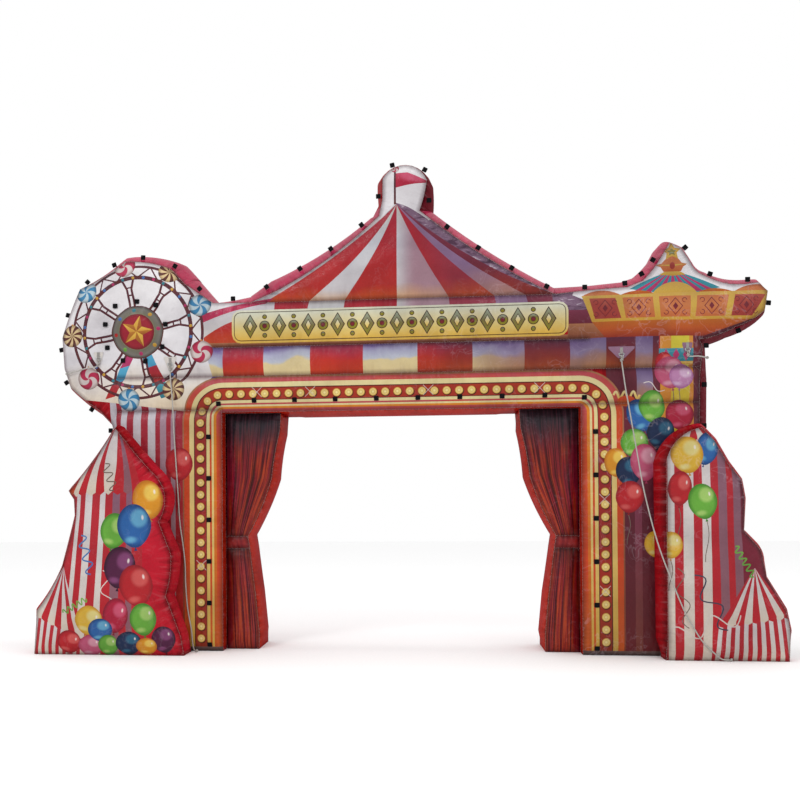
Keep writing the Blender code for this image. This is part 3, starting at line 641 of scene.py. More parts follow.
# For each point: how far its nearest seam is, and which one that is.
def nearestSeam(points, starts, ends):
    away = np.full(len(points), 1e9)
    which = np.zeros(len(points), int)
    for index, (a, b) in enumerate(zip(starts, ends)):
        run = b - a
        share = np.clip((points - a) @ run / np.hypot(*run)**2, 0, 1)
        gap = points - a - share[:, None] * run
        reach = np.hypot(gap[:, 0], gap[:, 1])
        closer = reach < away
        away[closer] = reach[closer]
        which[closer] = index
    return away, which


def crownRise(away):
    quick = np.clip(away / puff["quickWidth"], 0, 1)
    slow = np.clip((away - puff["quickWidth"]) / puff["slowWidth"], 0, 1)
    return puff["quickRise"] * np.sin(quick * math.pi / 2) + puff["slowRise"] * slow**2 * (3 - 2 * slow)


# Cuts a closed line into stretches no longer than the spacing.
def cutUp(outline, spacing, closed=True):
    points = []
    ends = np.roll(outline, -1, axis=0) if closed else outline[1:]
    for a, b in zip(outline, ends):
        count = max(1, math.ceil(np.hypot(*(b - a)) / spacing))
        points += [a + (b - a) * i / count for i in range(count)]
    return points if closed else points + [outline[-1]]


# The points round the open edge of a field of faces, in order.
def rimOf(faces):
    edges = {}
    for face in faces:
        for a, b in zip(face, face[1:] + face[:1]):
            if (b, a) in edges:
                del edges[(b, a)]
            else:
                edges[(a, b)] = True
    following = dict(edges.keys())
    loop = [next(iter(following))]
    while following[loop[-1]] != loop[0]:
        loop.append(following[loop[-1]])
    return loop


# A mesh as an object.  With a frame, its points are given in that frame.
def plainPiece(name, verts, faces, looksNow, smooth=True, frame=None):
    mesh = bpy.data.meshes.new(name)
    mesh.from_pydata([tuple(frame @ Vector(v)) if frame else tuple(v) for v in verts], [], faces)
    for look in looksNow:
        mesh.materials.append(look)
    if smooth:
        mesh.shade_smooth()
    return addObject(name, mesh)


# Lays a print out flat and fills it with triangles that keep to its lines.
def printField(outline, seams, shapes, spacing):
    points, edges = [], []

    def addLine(line, closed):
        first, last = len(points), len(points) + len(line) - 1
        points.extend(line)
        edges.extend((i, i + 1) for i in range(first, last))
        if closed:
            edges.append((last, first))

    addLine(list(outline), True)
    for seam in seams:
        addLine(cutUp(np.array(seam, float), spacing, closed=False), False)
    for item in shapes:
        addLine(cutUp(item["outline"], spacing), True)
    tree = KDTree(len(points))
    for i, point in enumerate(points):
        tree.insert((point[0], point[1], 0), i)
    tree.balance()
    low, high = outline.min(axis=0), outline.max(axis=0)
    field = []
    rowStep = spacing * math.sqrt(3) / 2
    for j in range(int((high[1] - low[1]) / rowStep) + 1):
        z = low[1] + rowStep * (j + 0.5)
        field += [(x, z) for x in np.arange(low[0] + spacing / 2 * (j % 2), high[0], spacing)]
    field = np.array(field)
    field = field[isInside(field, outline)]
    field = [p for p in field if tree.find((p[0], p[1], 0))[2] > spacing * puff["keepClear"]]
    flat = [Vector((float(p[0]), float(p[1]))) for p in points + field]
    found = delaunay_2d_cdt(flat, edges, [], 0, 1e-6)
    spots = np.array([tuple(p) for p in found[0]])
    faces = np.array([tuple(f) for f in found[2]])
    faces = faces[isInside(spots[faces].mean(axis=1), outline)]
    used, faces = np.unique(faces, return_inverse=True)
    return spots[used], faces.reshape(-1, 3)


# The shape that each face of the front belongs to, and its corners' places in it.  Later shapes lie
# over earlier ones.
def printFaces(corners, shapes):
    middles = corners.mean(axis=1)
    owner = np.full(len(corners), -1)
    places = corners / puff["plainSize"]
    for index, item in enumerate(shapes):
        low, high = item["outline"].min(axis=0), item["outline"].max(axis=0)
        near = np.where(((middles > low) & (middles < high)).all(axis=1))[0]
        owner[near[isInside(middles[near], item["outline"])]] = index
    for index, item in enumerate(shapes):
        mine = owner == index
        if mine.any():
            places[mine] = shapePlaces(item, corners[mine].reshape(-1, 2)).reshape(-1, 3, 2)
    return owner, places


# The side wall's rings of points between the front's rim and the back's, held out by the air.
def wallRings(rim, outline, side, frontY, depth):
    following = np.roll(outline, -1, axis=0)
    lengths = np.hypot(*(following - outline).T)
    _, nearest = nearestSeam(rim, outline, following)
    runs = ((following - outline) / lengths[:, None])[nearest]
    share = np.clip(((rim - outline[nearest]) * runs).sum(axis=1) / lengths[nearest], 0, 1)
    bulge = side[nearest] + (np.roll(side, -1)[nearest] - side[nearest]) * share
    before, after = rim - np.roll(rim, 1, axis=0), np.roll(rim, -1, axis=0) - rim
    run = before / np.linalg.norm(before, axis=1)[:, None] + after / np.linalg.norm(after, axis=1)[:, None]
    run /= np.linalg.norm(run, axis=1)[:, None]
    outward = np.stack([run[:, 1], -run[:, 0]], axis=1)
    made = []
    for ring in range(1, puff["sideRings"]):
        level = ring / puff["sideRings"]
        pushed = rim + outward * (bulge * math.sin(level * math.pi) ** puff["sideProfile"])[:, None]
        pushed[:, 1] = np.maximum(pushed[:, 1], 0.0)
        pushed[rim[:, 1] < 1e-6, 1] = 0.0
        made.append(np.stack([pushed[:, 0], np.full(len(rim), frontY + depth * level), pushed[:, 1]],
                             axis=1))
    return made


# The side wall's faces, each with its corners' places: along the rim, then the share of the way back
# or the way from the nearer rim.
def wallFaces(rings, rim, depth):
    after = np.roll(rim, -1, axis=0) - rim
    along = np.concatenate([[0], np.cumsum(np.linalg.norm(after, axis=1))])
    faces, places, seamPlaces = [], [], []
    for ring, (low, high) in enumerate(zip(rings, rings[1:])):
        a, b = ring / puff["sideRings"], (ring + 1) / puff["sideRings"]
        nearA, nearB = min(a, 1 - a) * depth, min(b, 1 - b) * depth
        for i, (u, w) in enumerate(zip(along, along[1:])):
            j = (i + 1) % len(rim)
            faces.append((low[j], low[i], high[i], high[j]))
            places.append([(w, a), (u, a), (u, b), (w, b)])
            seamPlaces.append([(w, nearA), (u, nearA), (u, nearB), (w, nearB)])
    return faces, np.array(places), np.array(seamPlaces)


# How far along its nearest seam each corner lies, with the seams laid end to end.
def alongSeams(corners, starts, ends):
    lengths = np.hypot(*(ends - starts).T)
    offsets = np.concatenate([[0], np.cumsum(lengths)])[:-1]
    _, nearest = nearestSeam(corners.mean(axis=1), starts, ends)
    runs = ((ends - starts) / lengths[:, None])[nearest][:, None, :]
    return ((corners - starts[nearest][:, None, :]) * runs).sum(axis=2) + offsets[nearest][:, None]


# The look of the side wall at each point of the rim.
def looksAlong(rim, sideLook, sideParts):
    found = [sideLook] * len(rim)
    for i, (x, z) in enumerate(rim):
        for look, lowX, lowZ, highX, highZ in sideParts:
            if lowX < x < highX and lowZ < z < highZ:
                found[i] = look
    return found


# Cloth folds over sharply at its seams: both ends of an edge lie on one, in the front or in the back.
def foldSharply(mesh, onSeam, total):
    edges = np.zeros(len(mesh.edges) * 2, int)
    mesh.edges.foreach_get("vertices", edges)
    edges = edges.reshape(-1, 2)
    sheet = edges // total  # 0 for the front, 1 for the back
    sharp = onSeam[edges].all(axis=1) & (sheet[:, 0] == sheet[:, 1]) & (sheet[:, 0] < 2)
    mesh.edges.foreach_set("use_edge_sharp", sharp)


# A closed, air-filled body.  Its front carries the print; its side wall and back are plain cloth.
# sideParts: the look of the side wall in a box of the rim.
def puffedBody(name, table, frontY, backY, seams, shapes, sideLook, backLook, reshape=None, flatBack=False,
               spacing=puff["spacing"], sideParts=()):
    rows = outlineRows(table, spacing)
    outline, side = rows[:, :2], rows[:, 2]
    starts = np.array(list(outline) + [seam[0] for seam in seams])
    ends = np.array(list(np.roll(outline, -1, axis=0)) + [seam[1] for seam in seams])
    spots, faces = printField(outline, seams, shapes, spacing)
    away, _ = nearestSeam(spots, starts, ends)
    away[away < puff["onSeam"]] = 0
    rise = crownRise(away)
    if reshape:
        rise = reshape(spots, rise)
    rim = np.array(rimOf([tuple(face) for face in faces]))
    rise[rim] = 0
    total, count = len(spots), len(rim)
    corners = spots[faces]
    owner, frontPlace = printFaces(corners, shapes)
    frontSeam = np.stack([alongSeams(corners, starts, ends), away[faces]], axis=2)
    # points: the front, the back and the rings between them
    verts = [np.stack([spots[:, 0], frontY - rise, spots[:, 1]], axis=1),
             np.stack([spots[:, 0], backY + rise * (not flatBack), spots[:, 1]], axis=1)]
    verts += wallRings(spots[rim], outline, side, frontY, backY - frontY)
    verts = np.vstack(verts) - np.array(drawingOrigin)
    rings = [rim] + [2 * total + count * ring + np.arange(count) for ring in range(puff["sideRings"] - 1)]
    quads, wallPlace, wallSeam = wallFaces(rings + [rim + total], spots[rim], backY - frontY)
    allFaces = [[int(i) for i in face] for face in list(faces) + list(faces[:, ::-1] + total) + quads]
    wallLooks = looksAlong(spots[rim], sideLook, sideParts)
    names = [sideLook, backLook]
    for look in [item["look"] for item in shapes] + wallLooks:
        if look not in names:
            names.append(look)
    made = plainPiece(name, verts.tolist(), allFaces, [looks[key] for key in names])
    mesh = made.data
    slots = [names.index(shapes[o]["look"]) if o >= 0 else 0 for o in owner]
    slots += [1] * len(faces) + [names.index(look) for look in wallLooks] * puff["sideRings"]
    mesh.polygons.foreach_set("material_index", slots)
    for layer, front, back, wall in (("printPlace", frontPlace, corners / puff["plainSize"], wallPlace),
                                     ("seamPlace", frontSeam, frontSeam, wallSeam)):
        places = [front.ravel(), back[:, ::-1].ravel(), wall.ravel()]
        mesh.uv_layers.new(name=layer).data.foreach_set("uv", np.concatenate(places))
    onSeam = np.zeros(len(verts), bool)
    onSeam[:2 * total] = np.tile(away < puff["foldReach"], 2)
    onSeam[np.concatenate([rim, rim + total])] = True
    foldSharply(mesh, onSeam, total)
    mesh.update()
    print(f"{name}: {len(mesh.vertices)} points, {len(mesh.polygons)} faces")
    return made


def finishPiece(piece, nodes=()):
    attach(piece, "root")
    if nodes:
        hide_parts(*nodes)
    return piece


archSizes = {
    "depth": 0.80, "legOut": 3.02, "legIn": 1.88, "clearHeight": 2.555,
    "legSeam": 2.58, "beamSeams": (2.94, 3.25), "eaves": 3.72,
    "wingInner": 2.1, "wingTop": 2.45, "wingRise": 0.05,  # the part behind the wings rises no more
}
wheelDisc = {"x": -2.81, "z": 3.44, "tieRadius": 0.325, "ties": 9, "firstTie": 46.0,
             "dimple": 0.10, "dimpleDepth": 0.6}  # depth as a share of the rise
# Corners of the wheel's rim: degrees from +x, radius, bow and side.
wheelRim = [
    (243, 0.940, 0.01, 0.06), (218, 0.950, 0.00, 0.06), (205, 0.900, 0.00, 0.06), (183, 0.840, 0.01, 0.06),
    (143, 0.800, -0.02, 0.08), (100, 0.775, 0.03, 0.13), (60, 0.770, 0.00, 0.14), (44, 0.730, 0.00, 0.14),
]
legOut, legIn, clearHeight = archSizes["legOut"], archSizes["legIn"], archSizes["clearHeight"]
eaves = archSizes["eaves"]

# x, z: a seam point.  third: how far the stretch to the next point bows outwards.
# fourth: how far the side wall bulges there.  Clockwise from the front.
leftLeg = [(-legOut, 0.00, 0.0, 0.00), (-legOut, 0.20, 0.0, 0.15), (-3.04, 2.30, 0.0, 0.10),
           (-3.10, 2.46, 0.0, 0.06)]
roof = [
    (-1.97, 3.73, 0.0, 0.04), (-1.57, eaves, 0.0, 0.14), (-1.30, 3.83, -0.05, 0.21),
    (-0.18, 4.60, 0.0, 0.12), (-0.145, 4.77, 0.0, 0.06), (-0.14, 4.99, 0.15, 0.08),
    (0.32, 4.96, 0.01, 0.07), (0.24, 4.64, -0.045, 0.14), (1.62, 3.72, 0.0, 0.13),
]
canopy = [
    (2.00, 3.75, 0.0, 0.11), (2.36, 3.77, 0.0, 0.12), (2.51, 3.83, -0.01, 0.11), (2.69, 4.06, 0.0, 0.07),
    (2.78, 4.21, 0.0, 0.08), (2.89, 4.15, 0.0, 0.10), (2.98, 4.00, -0.02, 0.10), (3.12, 3.86, -0.01, 0.12),
    (3.36, 3.77, -0.01, 0.12), (3.64, 3.78, 0.0, 0.10), (3.73, 3.69, 0.0, 0.05), (3.70, 3.50, 0.02, 0.06),
    (3.42, 3.34, 0.02, 0.05), (3.06, 3.22, 0.0, 0.03),
]
rightLeg = [(3.09, 3.14, 0.0, 0.10), (3.06, 2.85, 0.0, 0.15), (legOut, 0.20, 0.0, 0.15),
            (legOut, 0.00, 0.0, 0.00)]
opening = [
    (legIn, 0.0, 0.0, 0.0), (legIn, clearHeight, 0.0, 0.0), (1.24, clearHeight, 0.0, 0.0),
    (1.05, clearHeight, 0.0, 0.03), (-1.05, clearHeight, 0.0, 0.03), (-1.24, clearHeight, 0.0, 0.0),
    (-legIn, clearHeight, 0.0, 0.0), (-legIn, 0.0, 0.0, 0.0),
]


def wheelRows():
    return [(*around(wheelDisc["x"], wheelDisc["z"], radius, degrees), bow, side)
            for degrees, radius, bow, side in wheelRim]


def tieSpots():
    return [around(wheelDisc["x"], wheelDisc["z"], wheelDisc["tieRadius"],
                   wheelDisc["firstTie"] + 360 / wheelDisc["ties"] * i) for i in range(wheelDisc["ties"])]


# Dimples at the wheel's ties, and a flat place behind each wing.
def archReshape(points, rise):
    for tie in tieSpots():
        away = np.hypot(*(points - np.array(tie)).T)
        rise = rise * (1 - wheelDisc["dimpleDepth"] * np.exp(-((away / wheelDisc["dimple"]) ** 2)))
    behindWing = (np.abs(points[:, 0]) > archSizes["wingInner"]) & (points[:, 1] < archSizes["wingTop"])
    return np.where(behindWing, np.minimum(rise, archSizes["wingRise"] - puff["gap"]), rise)


frameBands = [  # half width, top, corner radius, from the outside in
    ("shadeBrown", 2.300, 2.938, 0.44), ("frameOrange", 2.285, 2.918, 0.425),
    ("frameCream", 2.225, 2.868, 0.37), ("frameDark", 2.175, 2.814, 0.32),
    ("frameRed", 2.165, 2.802, 0.31), ("frameDark", 2.045, 2.684, 0.16),
    ("frameCream", 2.038, 2.676, 0.15), ("frameOrange", 2.004, 2.646, 0.12),
    ("frameCream", 1.984, 2.628, 0.11), ("frameAmber", 1.962, 2.610, 0.10),
    ("frameOrange", 1.935, 2.590, 0.09),
]
lampRow = {"x": 2.105, "top": 2.742, "corner": 0.25, "first": 0.14, "pitch": 0.1285, "radius": 0.043}
frameGlints = [(-1.49, 2.76), (-0.92, 2.755), (0.32, 2.75), (1.46, 2.75), (2.10, 1.60), (-2.10, 0.92),
               (2.10, 0.66)]
printFoot = 0.05


def frameOutline(half, top, corner):
    points = [(-half, printFoot)]
    points += [(-half + corner - corner * math.cos(a), top - corner + corner * math.sin(a))
               for a in np.linspace(0, math.pi / 2, 12)]
    points += [(-x, z) for x, z in reversed(points)]
    return points


def lampSpots():
    x, top, corner = lampRow["x"], lampRow["top"], lampRow["corner"]
    straight = top - corner - lampRow["first"]
    bend = corner * math.pi / 2
    whole = 2 * straight + 2 * bend + 2 * (x - corner)
    count = round(whole / lampRow["pitch"])
    spots = []
    for i in range(count + 1):
        walked = whole * i / count
        mirror = walked > whole / 2
        walked = whole - walked if mirror else walked
        if walked < straight:
            spot = (-x, lampRow["first"] + walked)
        elif walked < straight + bend:
            angle = (walked - straight) / corner
            spot = (-x + corner - corner * math.cos(angle), top - corner + corner * math.sin(angle))
        else:
            spot = (-x + corner + walked - straight - bend, top)
        spots.append((-spot[0], spot[1]) if mirror else spot)
    return spots


def archFrame():
    shapes = [shape(look, frameOutline(half, top, corner), box=(-half, 0, half, top))
              for look, half, top, corner in frameBands]
    radius = lampRow["radius"]
    for x, z in lampSpots():
        shapes += [disc("frameDark", x + 0.004, z - 0.006, radius + 0.005, count=14),
                   disc("lamp", x, z, radius, count=14)]
    for x, z in frameGlints:
        for lean in (45, -45):
            shapes += squiggle("paleLine", x, z, 0.15, 0.0, 1, 0.005, lean)
    return shapes


columnStripes = [  # x of each boundary and the look to its right, on the left column
    (-3.10, "stripeWhite"), (-3.036, "stripeRed"), (-2.982, "stripeWhite"), (-2.917, "stripeRed"),
    (-2.844, "stripeWhite"), (-2.76, "stripeRed"), (-2.682, "stripeWhite"), (-2.60, "stripeRed"),
    (-2.548, "stripeLilac"), (-2.48, "stripeRed"), (-2.43, "stripeLilac"), (-2.38, "stripeRed"),
    (-2.25, None),
]
columnEnds = [  # foot and top of further stripes, and their rows: left column's top, then the right column
    (2.58, 2.94, (-2.42, "blockRed"), (-2.17, "blockWhite"), (-1.86, None)),
    (printFoot, 2.58, (2.24, "columnShade"), (2.40, "columnDim"), (2.47, "columnShade"), (2.66, None)),
    (2.58, 2.94, (2.13, "columnShade"), (2.43, "blockWhite"), (2.59, "columnShade"), (2.66, None)),
    (printFoot, 3.25, (2.66, "columnOrange"), (2.77, "columnYellow"), (2.95, "columnOrange"), (3.10, None)),
    (printFoot, 3.25, (2.99, "columnShade"), (3.20, None)),
]
beamBlocks = [  # as columnStripes, along the beam's middle tube
    (-2.20, "blockWhite"), (-1.86, "blockRed"), (-1.42, "blockWhite"), (-0.92, "blockRed"),
    (-0.36, "blockWhite"), (0.21, "blockRed"), (0.78, "blockWhite"), (1.31, "blockRed"),
    (1.77, "blockWhite"), (2.13, "blockRed"), (2.42, "blockWhite"), (2.59, "blockRed"), (2.65, None),
]


def stripesBetween(rows, lowZ, highZ):
    return [block(look, x, lowZ, nextX, highZ) for (x, look), (nextX, _) in zip(rows, rows[1:])]


def columnPrint():
    shapes = stripesBetween(columnStripes, printFoot, 2.70)
    for lowZ, highZ, *rows in columnEnds:
        shapes += stripesBetween(rows, lowZ, highZ)
    return shapes


def beamPrint():
    shapes = stripesBetween(beamBlocks, 2.94, 3.25)
    shapes.append(block("teal", 2.65, 2.995, 2.99, 3.125))
    shapes += [diamond("magenta", 2.72 + 0.10 * i, 3.06, 0.033, 0.062) for i in range(3)]
    shapes.append(block("canopyGold", 2.65, 2.965, 2.99, 2.995))
    # top tube: sweeps at the left, shaded cloth at the right
    sweep = arc((-2.05, 3.61), (-1.30, 3.76), 0.02) + arc((-1.40, 3.705), (-2.05, 3.52), -0.02)
    low = arc((-2.09, 3.33), (-1.60, 3.56), 0.03)
    shapes += [
        block("stripeWhite", -2.10, 3.25, -1.30, 3.72, box=(-2.1, 3.0, -1.3, 3.8)),
        # a printed rose band, in the colour that stands for painted sheen on the side walls
        shape("sideRose", [(-2.10, 3.60)] + sweep + [(-2.10, 3.50)]),
        shape("roofRed", low + [(-1.60, 3.28), (-2.09, 3.28)], box=(-2.1, 3.25, -1.6, 4.6)),
        block("roofSilver", 1.60, 3.54, 2.30, 3.80), block("roofMaroon", 1.60, 3.36, 2.32, 3.54),
        block("shadeBrown", -2.02, 3.25, 1.75, 3.295), block("shadeBrown", 1.75, 3.25, 2.60, 3.40),
    ]
    return shapes


roofSpan = {"apexX": 0.005, "apexZ": 4.70, "foot": 3.722, "lower": 3.60}
roofStripes = [  # x at the roof's foot, how far that edge bows, and the look to its right
    (-1.40, -0.045, "roofRed"), (-0.93, -0.065, "roofWhite"), (-0.55, -0.041, "roofRed"),
    (0.0, 0.0, "roofWhite"), (0.54, 0.030, "roofRed"), (1.01, 0.056, "roofShade"),
    (1.33, 0.073, "roofMaroon"), (1.62, 0.089, None),
]


def roofPrint():
    apex = np.array([roofSpan["apexX"], roofSpan["apexZ"]])
    foot, lower = roofSpan["foot"], roofSpan["lower"]
    shapes = [shape("roofEdge", [(0.0, 3.60), (0.0, 4.80), (-0.40, 4.80), (-2.05, 3.80), (-1.75, 3.60)]),
              shape("roofSilver", [(0.0, 3.60), (0.0, 4.80), (0.60, 4.80), (2.00, 3.85), (2.00, 3.60)])]
    for (x, bow, look), (nextX, nextBow, _) in zip(roofStripes, roofStripes[1:]):
        left, right = arc((x, foot), apex, bow, 16), arc((nextX, foot), apex, nextBow, 16)
        below = [(x, foot), (nextX, foot), (nextX * 1.02, lower), (x * 1.02, lower)]
        shapes += [shape(look, left[:-1] + right[::-1], box=(-1.8, foot, 1.8, 4.72)),
                   shape(look, below, box=(-1.8, 3.0, 1.8, 3.9))]
    # a white collar under the flag
    collar = arc((-0.46, 4.40), (0.0, 4.715), -0.03) + arc((0.0, 4.715), (0.34, 4.53), 0.02)
    collar += [(0.45, 4.62), (0.60, 5.35), (-0.50, 5.35), (-0.60, 4.42)]
    flag = [(-0.002, 5.03), (0.12, 5.035), (0.36, 4.935), (0.12, 4.90), (-0.002, 4.875)]
    shapes.append(shape("wheelGround", collar, box=(-0.5, 4.3, 0.6, 5.2)))
    shapes += ribbon("wheelBar", [(-0.012, 4.70), (-0.012, 4.90), (-0.010, 5.05)], 0.022)
    shapes.append(shape("balloonCrimson", flag, middle=(0.1, 4.95, 0.4, 0.2, 0)))
    return shapes + [disc("swirlRose", -0.010, 5.085, 0.042)]


plateSizes = {"half": 1.755, "low": 3.285, "high": 3.635, "corner": 0.09, "motifs": 21, "margin": 0.12,
              "dotRise": 0.098}
plateRims = [("plate", 0.0), ("plateLine", 0.022), ("plate", 0.030)]  # look and inset
plateDiamonds = [  # look, half width, half height
    ("plateLine", 0.078, 0.128), ("plateOlive", 0.066, 0.112), ("plateLine", 0.034, 0.062),
    ("plate", 0.026, 0.050),
]
plateBosses = [("plateLine", 0.058), ("plateOlive", 0.049), ("plateLine", 0.026), ("plateWine", 0.020)]
plateDots = [("plateLine", 0.026), ("plateOlive", 0.018)]


# The sign's place carries a plain row of diamonds and bosses.
def platePrint():
    sizes = plateSizes
    half, low, high = sizes["half"], sizes["low"], sizes["high"]

    def rounded(inset):
        radius = max(sizes["corner"] - inset, 0.01)
        farX, topZ, footZ = half - radius - inset, high - radius - inset, low + radius + inset
        return [around(x, z, radius, first + t)
                for x, z, first in ((farX, topZ, 0), (-farX, topZ, 90), (-farX, footZ, 180),
                                    (farX, footZ, 270))
                for t in (0, 30, 60, 90)]

    shapes = [shape(look, rounded(inset)) for look, inset in plateRims]
    z = (low + high) / 2
    for i in range(sizes["motifs"]):
        x = (half - sizes["margin"]) * (2 * (i + 0.5) / sizes["motifs"] - 1)
        if i % 2 == 0:
            shapes += [diamond(look, x, z, wide, tall) for look, wide, tall in plateDiamonds]
        else:
            shapes += [disc(look, x, z, radius, count=16) for look, radius in plateBosses]
            shapes += [disc(look, x, z + side * sizes["dotRise"], radius, count=12)
                       for side in (-1, 1) for look, radius in plateDots]
    return shapes


wheelPrintSizes = {
    "x": -2.787, "z": 3.430, "hub": 0.275, "hubInner": 0.190, "rim": 0.590, "outerRim": 0.712, "spokes": 8,
    "cabins": 9, "cabinRing": 0.735, "cabin": 0.120, "beads": 8, "ground": 1.02,
    "legTop": (0.07, -0.22), "legFoot": (0.31, -0.72),  # from the hub, to each side
    "rimBar": 0.042, "outerBar": 0.030, "spokeBar": 0.024, "crossBar": 0.016, "rimBead": 0.017,
    "hubBead": 0.021,
}


# A bar of the wheel, through places given as radius and degrees.
def wheelBar(width, *ends):
    x, z = wheelPrintSizes["x"], wheelPrintSizes["z"]
    return ribbon("wheelBar", [around(x, z, radius, degrees) for radius, degrees in ends], width)


def wheelGround(x, z, radius):
    ground = [(x + radius * math.cos(a), z + radius * math.sin(a))
              for a in np.linspace(math.radians(36), math.radians(322), 30)]
    ground += [(-2.17, 2.66), (-1.98, 2.94), (-2.06, 3.30), (-2.08, 3.60), (-1.60, 3.745), (-1.90, 3.90)]
    inside = [p for p in ground if p[1] > 2.655 or p[0] > -2.3]
    return [shape("wheelGround", inside, box=(-3.7, 2.6, -1.9, 4.3))]


# Two legs, in three coloured lengths each.
def wheelLegs(x, z, legTop, legFoot):
    shapes = []
    for side, bands in ((-1, ("magenta", "skyBlue", "stripeRed")), (1, ("skyBlue", "stripeRed", "teal"))):
        top, foot = ((x + side * offX, z + offZ) for offX, offZ in (legTop, legFoot))
        for i, look in enumerate(bands):
            (topX, topZ), (lowX, lowZ) = [
                [a + (b - a) * t for a, b in zip(top, foot)] for t in (i / 3, (i + 1) / 3)]
            shapes.append(shape(look, [(topX - 0.055, topZ), (topX + 0.055, topZ + 0.03),
                                       (lowX + 0.055, lowZ + 0.03), (lowX - 0.055, lowZ)]))
    return shapes


# Two rims with a zigzag and beads between them, and braced spokes from the hub.
def wheelLattice():
    sizes = wheelPrintSizes
    keys = ("x", "z", "hub", "rim", "outerRim", "spokes")
    x, z, hub, rim, outerRim, spokes = (sizes[key] for key in keys)
    shapes = []
    for radius, width in ((rim, sizes["rimBar"]), (outerRim, sizes["outerBar"])):
        for i in range(spokes * 2):
            shapes += wheelBar(width, *((radius, 360 / (spokes * 2) * (i + t / 6)) for t in range(7)))
    for i in range(spokes):
        turn = 360 / spokes * i + 11
        for lean in (-5.0, 5.0):
            bend = (rim * 0.8, turn + lean * 0.6)
            shapes += wheelBar(sizes["spokeBar"], (hub, turn + lean), bend)
            shapes += wheelBar(sizes["spokeBar"], bend, (rim, turn + lean * 1.3))
        for share in (0.42, 0.68):
            radius = hub + (rim - hub) * share
            shapes += wheelBar(sizes["crossBar"], (radius, turn - 4.0), (radius, turn + 4.0))
    steps = spokes * 4
    for i in range(steps):
        radii = (rim, outerRim) if i % 2 == 0 else (outerRim, rim)
        ends = [(radius, 360 / steps * (i + j)) for j, radius in enumerate(radii)]
        shapes += wheelBar(sizes["crossBar"], *ends)
        bead = around(x, z, rim, 360 / steps * i + 5)
        look = ("canopyGold", "teal", "magenta", "blueLine")[i % 4]
        shapes.append(disc(look, *bead, sizes["rimBead"], count=8))
    return shapes


# A plain big wheel: hub with a star, lattice spokes, two rims and swirl discs for its cabins.
def wheelPrint():
    sizes = wheelPrintSizes
    x, z, hub, inner = sizes["x"], sizes["z"], sizes["hub"], sizes["hubInner"]
    shapes = wheelGround(x, z, sizes["ground"]) + wheelLegs(x, z, sizes["legTop"], sizes["legFoot"])
    shapes += wheelLattice()
    for i in range(sizes["cabins"]):
        a, b = around(x, z, sizes["cabinRing"], 360 / sizes["cabins"] * i + 22)
        shapes += [shape("columnOrange", [(a - 0.07, b + 0.07), (a, b + 0.135), (a + 0.07, b + 0.07)]),
                   disc(("swirlBlue", "swirlBrown", "swirlRose")[i % 3], a, b, sizes["cabin"], count=26)]
    shapes += [disc("wheelBar", x, z, hub + 0.010, count=36), disc("hubRing", x, z, hub, count=36)]
    beadLooks = ("magenta", "canopyGold", "teal", "blueLine", "stripeRed", "greenLine")
    for i in range(sizes["beads"]):
        bead = around(x, z, (hub + inner) / 2, 360 / sizes["beads"] * i + 8)
        shapes.append(disc(beadLooks[i % 6], *bead, sizes["hubBead"], count=10))
    shapes.append(disc("hubRed", x, z, inner, count=30))
    return shapes + star(x, z, 0.175, 0.44, 78)


# The canopy end: a gold-framed rim of panels, a striped dome, a crown and a star.
canopySizes = {"top": 3.685, "foot": 3.412, "left": (1.89, 1.99), "right": (3.80, 3.57), "gold": 0.030}
canopyScallops = [  # x of both ends, look and rise
    (1.90, 2.28, "canopyOrange", 0.055), (2.28, 2.62, "canopyFoot", 0.040),
    (3.03, 3.39, "canopyFoot", 0.040), (3.39, 3.85, "canopyOrange", 0.075),
    (2.59, 3.03, "canopyGold", 0.115),
]
canopyPanels = [  # x of both top corners, x of both foot corners
    (1.965, 2.225, 2.020, 2.280, "canopyRed"), (2.295, 2.595, 2.325, 2.610, "canopyOrange"),
    (2.655, 2.965, 2.665, 2.960, "canopyOrange"), (3.030, 3.340, 3.010, 3.300, "canopyOrange"),
    (3.400, 3.705, 3.360, 3.570, "canopyRed"),
]


# The striped dome, with a crown and a star on it.
def canopyDome():
    ground = [(1.80, 3.70), (1.90, 3.90), (2.40, 3.90), (2.70, 4.40), (2.95, 4.40), (3.10, 4.00),
              (3.40, 3.90), (3.90, 3.95), (3.90, 3.66), (3.0, 3.6), (2.0, 3.6)]
    dome = arc((2.37, 3.745), (2.70, 3.885), 0.012, 5)
    dome += arc((2.88, 3.885), (3.26, 3.735), 0.012, 5) + [(2.9, 3.64)]
    shapes = [shape("wheelGround", ground, box=(2.2, 3.3, 3.8, 4.3)), shape("teal", dome)]
    for i in range(7):
        low, high = 2.38 + 0.128 * i, 2.712 + 0.024 * i
        stripe = [(low, 3.70), (high, 3.885), (high + 0.014, 3.885), (low + 0.066, 3.70)]
        shapes.append(shape("magenta", stripe))
    crown = [(2.63, 3.985), (2.69, 3.995), (2.735, 4.045), (2.79, 4.075), (2.845, 4.045), (2.885, 3.995),
             (2.945, 3.985), (2.90, 3.955), (2.875, 3.905), (2.705, 3.905), (2.68, 3.955)]
    shapes += [
        shape("canopyGold", arc((2.66, 3.875), (2.92, 3.870), 0.045) + [(2.79, 3.86)]),
        shape("canopyOrange", crown),
        shape("canopyGold", [(2.63, 3.985), (2.79, 3.955), (2.945, 3.985), (2.79, 3.975)]),
        disc("canopyRed", 2.79, 3.965, 0.026, 0.038, count=12),
    ]
    shapes += star(2.79, 4.115, 0.100, 0.50, 90, "canopyGold", "canopyGold")
    return shapes + star(2.79, 4.110, 0.048, 0.50, 90, "plateOlive", "plateOlive")


